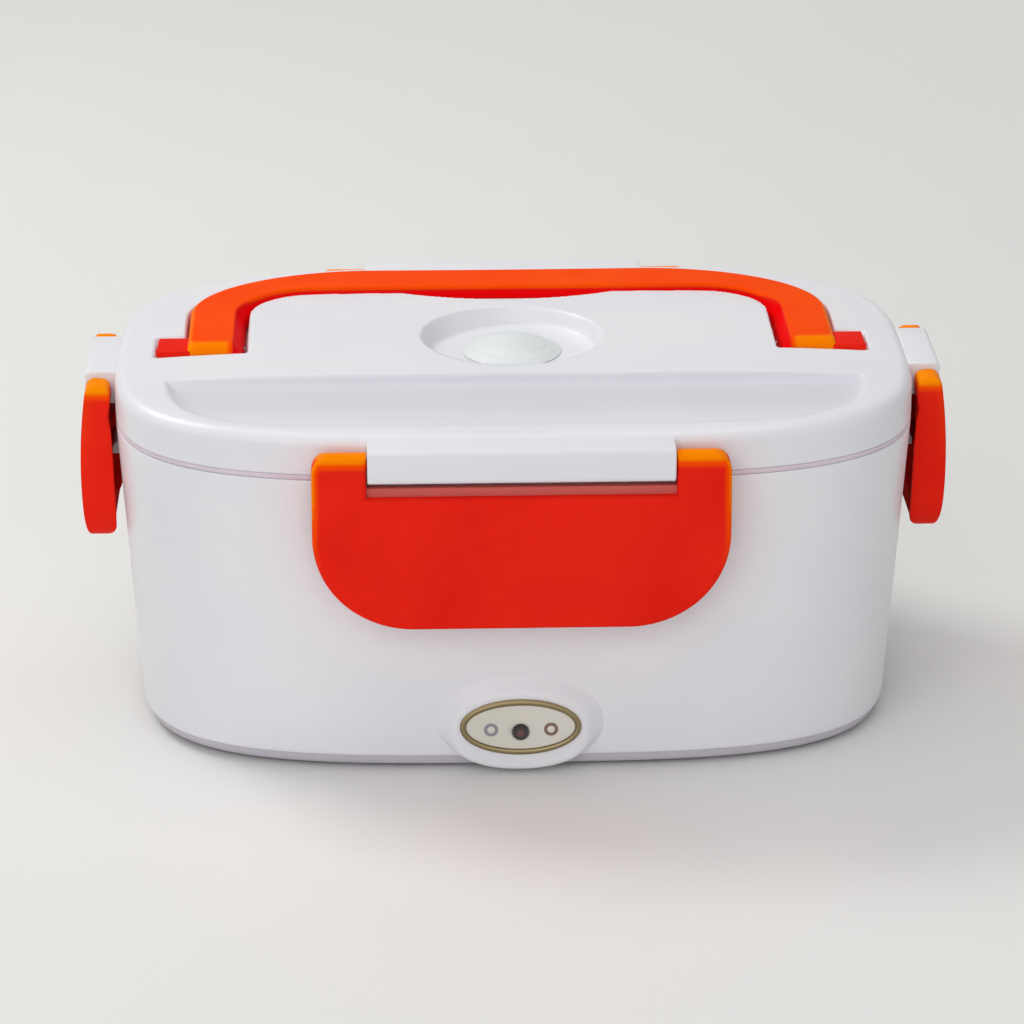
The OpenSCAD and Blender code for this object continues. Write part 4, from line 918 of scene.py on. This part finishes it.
class Value:
    """A socket with the operators of arithmetic; an expression on values adds its Math nodes."""

    def __init__(self, tree, socket):
        self.tree, self.socket = tree, socket

    def _math(self, operation, *args, clamp=False):
        """A Math node on values or numbers."""
        node = self.tree.nodes.new("ShaderNodeMath")
        node.operation, node.use_clamp = operation, clamp
        for slot, arg in zip(node.inputs, args):
            plug(self.tree, arg, slot)
        return Value(self.tree, node.outputs[0])

    def __add__(self, o): return self._math("ADD", self, o)
    def __radd__(self, o): return self._math("ADD", o, self)
    def __sub__(self, o): return self._math("SUBTRACT", self, o)
    def __rsub__(self, o): return self._math("SUBTRACT", o, self)
    def __mul__(self, o): return self._math("MULTIPLY", self, o)
    def __rmul__(self, o): return self._math("MULTIPLY", o, self)
    def __truediv__(self, o): return self._math("DIVIDE", self, o)
    def __pow__(self, o): return self._math("POWER", self, o)
    def clamped(self): return self._math("ADD", self, 0.0, clamp=True)

    def step(self, low, high):
        """Smooth step of this value between low and high."""
        t = ((self - low) / (high - low)).clamped()
        return t * t * (3.0 - 2.0 * t)


def plug(tree, value, slot):
    """Links a Value or a socket, or writes a plain number or colour."""
    if isinstance(value, Value):
        tree.links.new(value.socket, slot)
    elif isinstance(value, bpy.types.NodeSocket):
        tree.links.new(value, slot)
    elif isinstance(value, (tuple, list)) and len(value) == 3 and slot.type == "RGBA":
        slot.default_value = (*value, 1.0)
    else:
        slot.default_value = value


class Finish:
    """A material's node tree with one Principled shader."""

    def __init__(self, name, **plain):
        self.name = name
        self.material = bpy.data.materials.new(name)
        self.material.use_nodes = True
        self.tree = self.material.node_tree
        self.shader = self.tree.nodes["Principled BSDF"]
        self.set(**plain)
        self.place = self.node("ShaderNodeTexCoord").outputs["Object"]

    def node(self, kind, settings=None, **sockets):
        """Adds any node: its settings first, then the values or links of its sockets."""
        node = self.tree.nodes.new(kind)
        for key, value in (settings or {}).items():
            setattr(node, key, value)
        for key, value in sockets.items():
            plug(self.tree, value, node.inputs[key.replace("_", " ")])
        return node

    def noise(self, size_mm, detail=2.0, stretch=None):
        """Noise with features of about that size in millimetres, 0 to 1."""
        place = self.place
        if stretch:
            place = self.node("ShaderNodeMapping", Vector=self.place, Scale=stretch).outputs[0]
        n = self.node("ShaderNodeTexNoise", Vector=place, Scale=1000.0 / size_mm, Detail=detail)
        return Value(self.tree, n.outputs[0])

    def specks(self, size_mm):
        """Distance to the nearest of scattered points about size_mm apart."""
        n = self.node("ShaderNodeTexVoronoi", Vector=self.place, Scale=1000.0 / size_mm)
        return Value(self.tree, n.outputs["Distance"])

    def attribute(self, name):
        """A number that the mesh carries at its points."""
        return Value(self.tree, self.node("ShaderNodeAttribute", {"attribute_name": name}).outputs["Fac"])

    def axis(self, i):
        """Coordinate 0, 1 or 2 on the piece, in metres."""
        split = self.node("ShaderNodeSeparateXYZ", Vector=self.place)
        return Value(self.tree, split.outputs[i])

    def blend(self, mask, low, high):
        """Colour that goes from low to high with the mask."""
        mix = self.node("ShaderNodeMix", {"data_type": "RGBA"})
        plug(self.tree, mask, mix.inputs[0])
        for value, slot in ((low, mix.inputs[6]), (high, mix.inputs[7])):
            plug(self.tree, value, slot)
        return mix.outputs[2]

    def bump(self, height, depth_mm):
        """Small relief in the light only."""
        b = self.node("ShaderNodeBump", Strength=1.0, Distance=depth_mm * 0.001, Height=height)
        self.set(Normal=b.outputs[0])

    def set(self, **sockets):
        """Values or links of the Principled shader's sockets."""
        for key, value in sockets.items():
            plug(self.tree, value, self.shader.inputs[key.replace("_", " ")])


def moulded(name, colour, warm, rough, grain=0.004, coat=0.0, shade=None):
    """Moulded plastic: a soft drift in colour, faint flow waves, fine grain and uneven polish. A shade is a
    painted shade: the colour that it takes where its piece carries the share 1."""
    f = Finish(name, Coat_Weight=coat, Coat_Roughness=0.12)
    drift = f.noise(38.0, 3.0)
    fine = f.noise(0.9, 2.0)
    flow = f.noise(16.0, 2.0)
    base = f.blend(drift.step(0.3, 0.7), colour, warm)
    if shade:
        base = f.blend(f.attribute("edge"), base, shade)
    polish = f.noise(9.0, 3.0)
    f.set(Base_Color=base, Roughness=rough + 0.08 * (polish - 0.5) + 0.03 * (fine - 0.5))
    f.bump(flow * 0.02 + fine * grain, 0.25)
    return f


def orange_moulding(name):
    """Orange-red plastic with very little gloss. By the colour share that its pieces carry, which paints
    light and shade, it goes from a dusky red (-2), painted shade under the latches' bars, and a plain red
    (-1), painted shade on the handle's inner sides, through deep red (0) on the less lit faces to orange
    (0.6), painted light on the handle's top, and clear orange (1), a painted highlight."""
    f = Finish(name, Specular_IOR_Level=0.006)
    share = f.attribute("edge")
    drift = f.noise(26.0, 3.0).step(0.3, 0.7)
    fine = f.noise(0.8, 2.0)
    # lit and shaded copies of the one plastic: painted shade in the deep, plain and dusky reds, painted
    # light in orange and a painted highlight in clear orange
    deep = f.blend(drift, (0.82, 0.016, 0.008), (0.88, 0.022, 0.010))
    plain = f.blend(drift, (0.93, 0.002, 0.003), (0.97, 0.003, 0.004))
    orange = f.blend(drift, (0.98, 0.064, 0.001), (1.0, 0.080, 0.002))
    clear = f.blend(drift, (1.0, 0.24, 0.0), (1.0, 0.27, 0.001))
    low = f.blend(share.step(-1.9, -1.1), (0.62, 0.13, 0.11), plain)
    face = f.blend(share.step(0.02, 0.58), f.blend(share.step(-0.9, -0.1), low, deep), orange)
    polish = f.noise(8.0, 3.0)
    f.set(Base_Color=f.blend(share.step(0.62, 1.0), face, clear),
          Roughness=0.34 + 0.10 * (polish - 0.5) + 0.05 * (fine - 0.5))
    f.bump(f.noise(14.0) * 0.02 + fine * 0.004, 0.25)
    return f


def lamp_glass(name):
    """Black window with a brownish-red middle, by the distance from its axis."""
    f = Finish(name, Coat_Weight=0.5, Coat_Roughness=0.08)
    far = ((f.axis(0) * 1000.0) ** 2.0 + (f.axis(2) * 1000.0 - LAMP_Z) ** 2.0) ** 0.5
    grain = f.noise(1.2, 2.0)
    glow, dark = (0.13, 0.045, 0.04), (0.012, 0.009, 0.009)
    f.set(Base_Color=f.blend(far.step(0.7, 1.5), glow, dark), Roughness=0.2 + 0.1 * (grain - 0.5))
    f.bump(grain, 0.004)
    return f


def brushed(name, colour, rough, stretch, depth=0.01):
    """Metal with fine lines drawn along one axis."""
    f = Finish(name, Metallic=1.0)
    lines = f.noise(0.6, 3.0, stretch)
    stain = f.noise(22.0, 3.0)
    f.set(Base_Color=f.blend(stain, tuple(0.86 * c for c in colour), colour),
          Roughness=rough + 0.16 * (lines - 0.5) + 0.08 * (stain - 0.5))
    f.bump(lines, depth)
    return f


def soft(name, colour, other, rough, grain_mm, depth):
    """Silicone or rubber: matt, with a dry fine grain and patches of a second, dustier colour."""
    f = Finish(name)
    grain = f.noise(grain_mm, 3.0)
    dust = f.noise(14.0, 2.0).step(0.3, 0.75)
    f.set(Base_Color=f.blend(dust, colour, other), Roughness=rough + 0.1 * (grain - 0.5))
    f.bump(grain, depth)
    return f


def board(name):
    """Green board with a lighter track pattern."""
    f = Finish(name, Roughness=0.35)
    tracks = f.specks(3.2).step(0.42, 0.5)
    f.set(Base_Color=f.blend(tracks, (0.02, 0.16, 0.06), (0.05, 0.27, 0.11)))
    f.bump(tracks, 0.03)
    return f


finishes = {finish.name: finish.material for finish in (
    # the white shell's shade is the painted shade of the band under the tub's lip and of the lid's front
    # recess
    moulded("white_shell", (0.80, 0.80, 0.835), (0.825, 0.82, 0.845), 0.36, coat=0.03,
            shade=(0.58, 0.535, 0.60)),
    moulded("white_liner", (0.79, 0.79, 0.81), (0.815, 0.81, 0.82), 0.42, grain=0.008),
    moulded("white_container", (0.81, 0.81, 0.80), (0.835, 0.83, 0.82), 0.36, grain=0.006),
    brushed("steel_plate", (0.66, 0.66, 0.67), 0.30, (1, 14, 1)),
    soft("silicone", (0.74, 0.73, 0.68), (0.78, 0.77, 0.73), 0.6, 0.7, 0.02),
    brushed("heater_case", (0.70, 0.70, 0.72), 0.38, (14, 1, 1)),
    brushed("clamp_steel", (0.52, 0.53, 0.55), 0.36, (1, 12, 1)),
    brushed("zinc_steel", (0.56, 0.56, 0.53), 0.33, (1, 1, 1), 0.02),
    moulded("black_plastic", (0.018, 0.018, 0.019), (0.028, 0.028, 0.03), 0.42, grain=0.03),
    moulded("ceramic_tan", (0.45, 0.32, 0.20), (0.50, 0.36, 0.24), 0.32),
    board("board_green"),
    moulded("led_red", (0.62, 0.02, 0.015), (0.7, 0.03, 0.02), 0.2, coat=0.4),
    moulded("cover_plastic", (0.60, 0.59, 0.67), (0.64, 0.63, 0.70), 0.40, grain=0.03),
    soft("foot_rubber", (0.055, 0.055, 0.06), (0.085, 0.085, 0.09), 0.72, 0.6, 0.04),
    brushed("pin_brass", (0.78, 0.60, 0.30), 0.24, (1, 8, 1), 0.005),
    moulded("badge_plate", (0.66, 0.63, 0.54), (0.73, 0.70, 0.62), 0.30, coat=0.3),
    brushed("badge_gold", (0.31, 0.245, 0.13), 0.44, (1, 1, 1), 0.004),
    lamp_glass("lamp_window"),
    soft("lead_brown", (0.19, 0.11, 0.09), (0.23, 0.14, 0.115), 0.45, 1.2, 0.01),
    soft("lead_blue", (0.03, 0.10, 0.36), (0.05, 0.14, 0.42), 0.45, 1.2, 0.01),
    soft("lead_grey", (0.26, 0.24, 0.29), (0.31, 0.29, 0.34), 0.45, 1.2, 0.01),
    soft("seal_silicone", (0.69, 0.59, 0.65), (0.74, 0.64, 0.70), 0.5, 0.8, 0.02),
    soft("vent_silicone", (0.75, 0.78, 0.77), (0.785, 0.81, 0.80), 0.5, 0.8, 0.015),
    orange_moulding("orange_plastic"),
)}


def dress(piece, slot):
    """Gives a piece the finish of its slot alone."""
    piece.data.materials.clear()
    piece.data.materials.append(finishes[slot])


slot_of = {s["node"]: s["material_slot"] for s in frame["record"]["subparts"]}
for node, piece in frame["nodes"].items():
    dress(piece, slot_of[node])
for piece in bpy.data.objects:
    if piece.type == "MESH" and "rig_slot" in piece:
        dress(piece, piece["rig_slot"])


# ---- floor, backdrop, lamps and camera ----

SURROUND = (0.70, 0.70, 0.68)       # what the camera sees behind everything


def make_floor():
    """A level floor that sweeps up at the back: depth runs flat, then round a quarter circle, then up.
    Where it is far from the box, the camera sees it in the surround's own pale colour, so that no horizon
    shows, and a camera that stands behind or under it looks through its back. Lengths are in metres."""
    bend, reach, wide, high = 0.5, 1.1, 14.0, 3.5
    t = np.linspace(0, 1, 25)[1:] * np.pi / 2
    y = np.concatenate([[-wide, reach], reach + bend * np.sin(t), [reach + bend]])
    z = np.concatenate([[0.0, 0.0], bend * (1 - np.cos(t)), [high]])
    points = np.array([[x, b, c] for b, c in zip(y, z) for x in (-wide, wide)])
    floor = add_object("floor", smooth_mesh("floor", points, strip_quads(len(y), 2).tolist()))
    f = Finish("pale_floor", Roughness=0.55)
    f.set(Base_Color=f.blend(f.noise(240.0, 3.0), (0.80, 0.80, 0.775), (0.84, 0.84, 0.81)))
    far = (f.axis(0) ** 2.0 + f.axis(1) ** 2.0) ** 0.5
    seen = Value(f.tree, f.node("ShaderNodeLightPath").outputs["Is Camera Ray"])
    back = Value(f.tree, f.node("ShaderNodeNewGeometry").outputs["Backfacing"])
    surface = f.shader
    for share, kind, settings in ((far.step(0.4, 1.2), "ShaderNodeEmission", {"Color": SURROUND}),
                                  (back, "ShaderNodeBsdfTransparent", {})):
        mix = f.node("ShaderNodeMixShader", Fac=share * seen)
        plug(f.tree, surface.outputs[0], mix.inputs[1])
        plug(f.tree, f.node(kind, **settings).outputs[0], mix.inputs[2])
        surface = mix
    plug(f.tree, surface.outputs[0], f.tree.nodes["Material Output"].inputs["Surface"])
    floor.data.materials.append(f.material)


def add_aimed(name, data, place, aim):
    """Adds a lamp or a camera that stands at the place and looks at the aim."""
    added = add_object(name, data)
    added.location = place
    added.rotation_euler = (Vector(aim) - Vector(place)).to_track_quat("-Z", "Y").to_euler()
    return added


def make_lamp(name, place, aim, size, watts, colour=(1, 1, 1)):
    """A rectangular lamp; places and sizes are in metres."""
    lamp = bpy.data.lights.new(name, "AREA")
    lamp.shape, lamp.size, lamp.size_y = "RECTANGLE", *size
    lamp.energy, lamp.color = watts, colour
    add_aimed(name, lamp, place, aim)


def make_world():
    """Soft grey surround for the light, shown paler to the camera and in reflections."""
    world = bpy.data.worlds.new("studio")
    bpy.context.scene.world = world
    world.use_nodes = True
    tree = world.node_tree
    back = tree.nodes["Background"]
    path = tree.nodes.new("ShaderNodeLightPath")
    rays = [Value(tree, path.outputs[f"Is {kind} Ray"]) for kind in ("Camera", "Glossy", "Transmission")]
    seen = rays[0] + rays[1] + rays[2]
    dim, pale = 0.42, 0.82
    tint = tree.nodes.new("ShaderNodeMix")
    tint.data_type = "RGBA"
    plug(tree, rays[0], tint.inputs[0])
    plug(tree, (0.95, 0.96, 1.0), tint.inputs[6])
    plug(tree, tuple(c / pale for c in SURROUND), tint.inputs[7])
    plug(tree, tint.outputs[2], back.inputs["Color"])
    plug(tree, seen.clamped() * (pale - dim) + dim, back.inputs["Strength"])


def make_camera():
    """The picture's own viewing angle: about 2 degrees left of the front and 21 degrees up, from 1.2 m."""
    turn, lift, far = math.radians(-1.9), math.radians(21.2), 1.19
    aim = Vector((0.0, -0.002, 0.049))
    level = far * math.cos(lift)
    place = aim + Vector((level * math.sin(turn), -level * math.cos(turn), far * math.sin(lift)))
    camera = bpy.data.cameras.new("camera")
    camera.sensor_width, camera.lens = 36.0, 150.0          # millimetres
    bpy.context.scene.camera = add_aimed("camera", camera, place, aim)


make_floor()
make_lamp("key", (-0.8, 0.55, 1.15), (0, 0, 0.06), (0.5, 0.5), 7.5, (1.0, 0.99, 0.97))
make_lamp("front", (-0.35, -1.4, 0.85), (0, 0, 0.05), (1.6, 1.1), 9.0, (0.98, 0.99, 1.0))
make_lamp("top", (0.1, 0.0, 1.5), (0, 0, 0.08), (1.2, 0.9), 4.0)
make_world()
make_camera()
bpy.context.scene.view_settings.view_transform = "Standard"
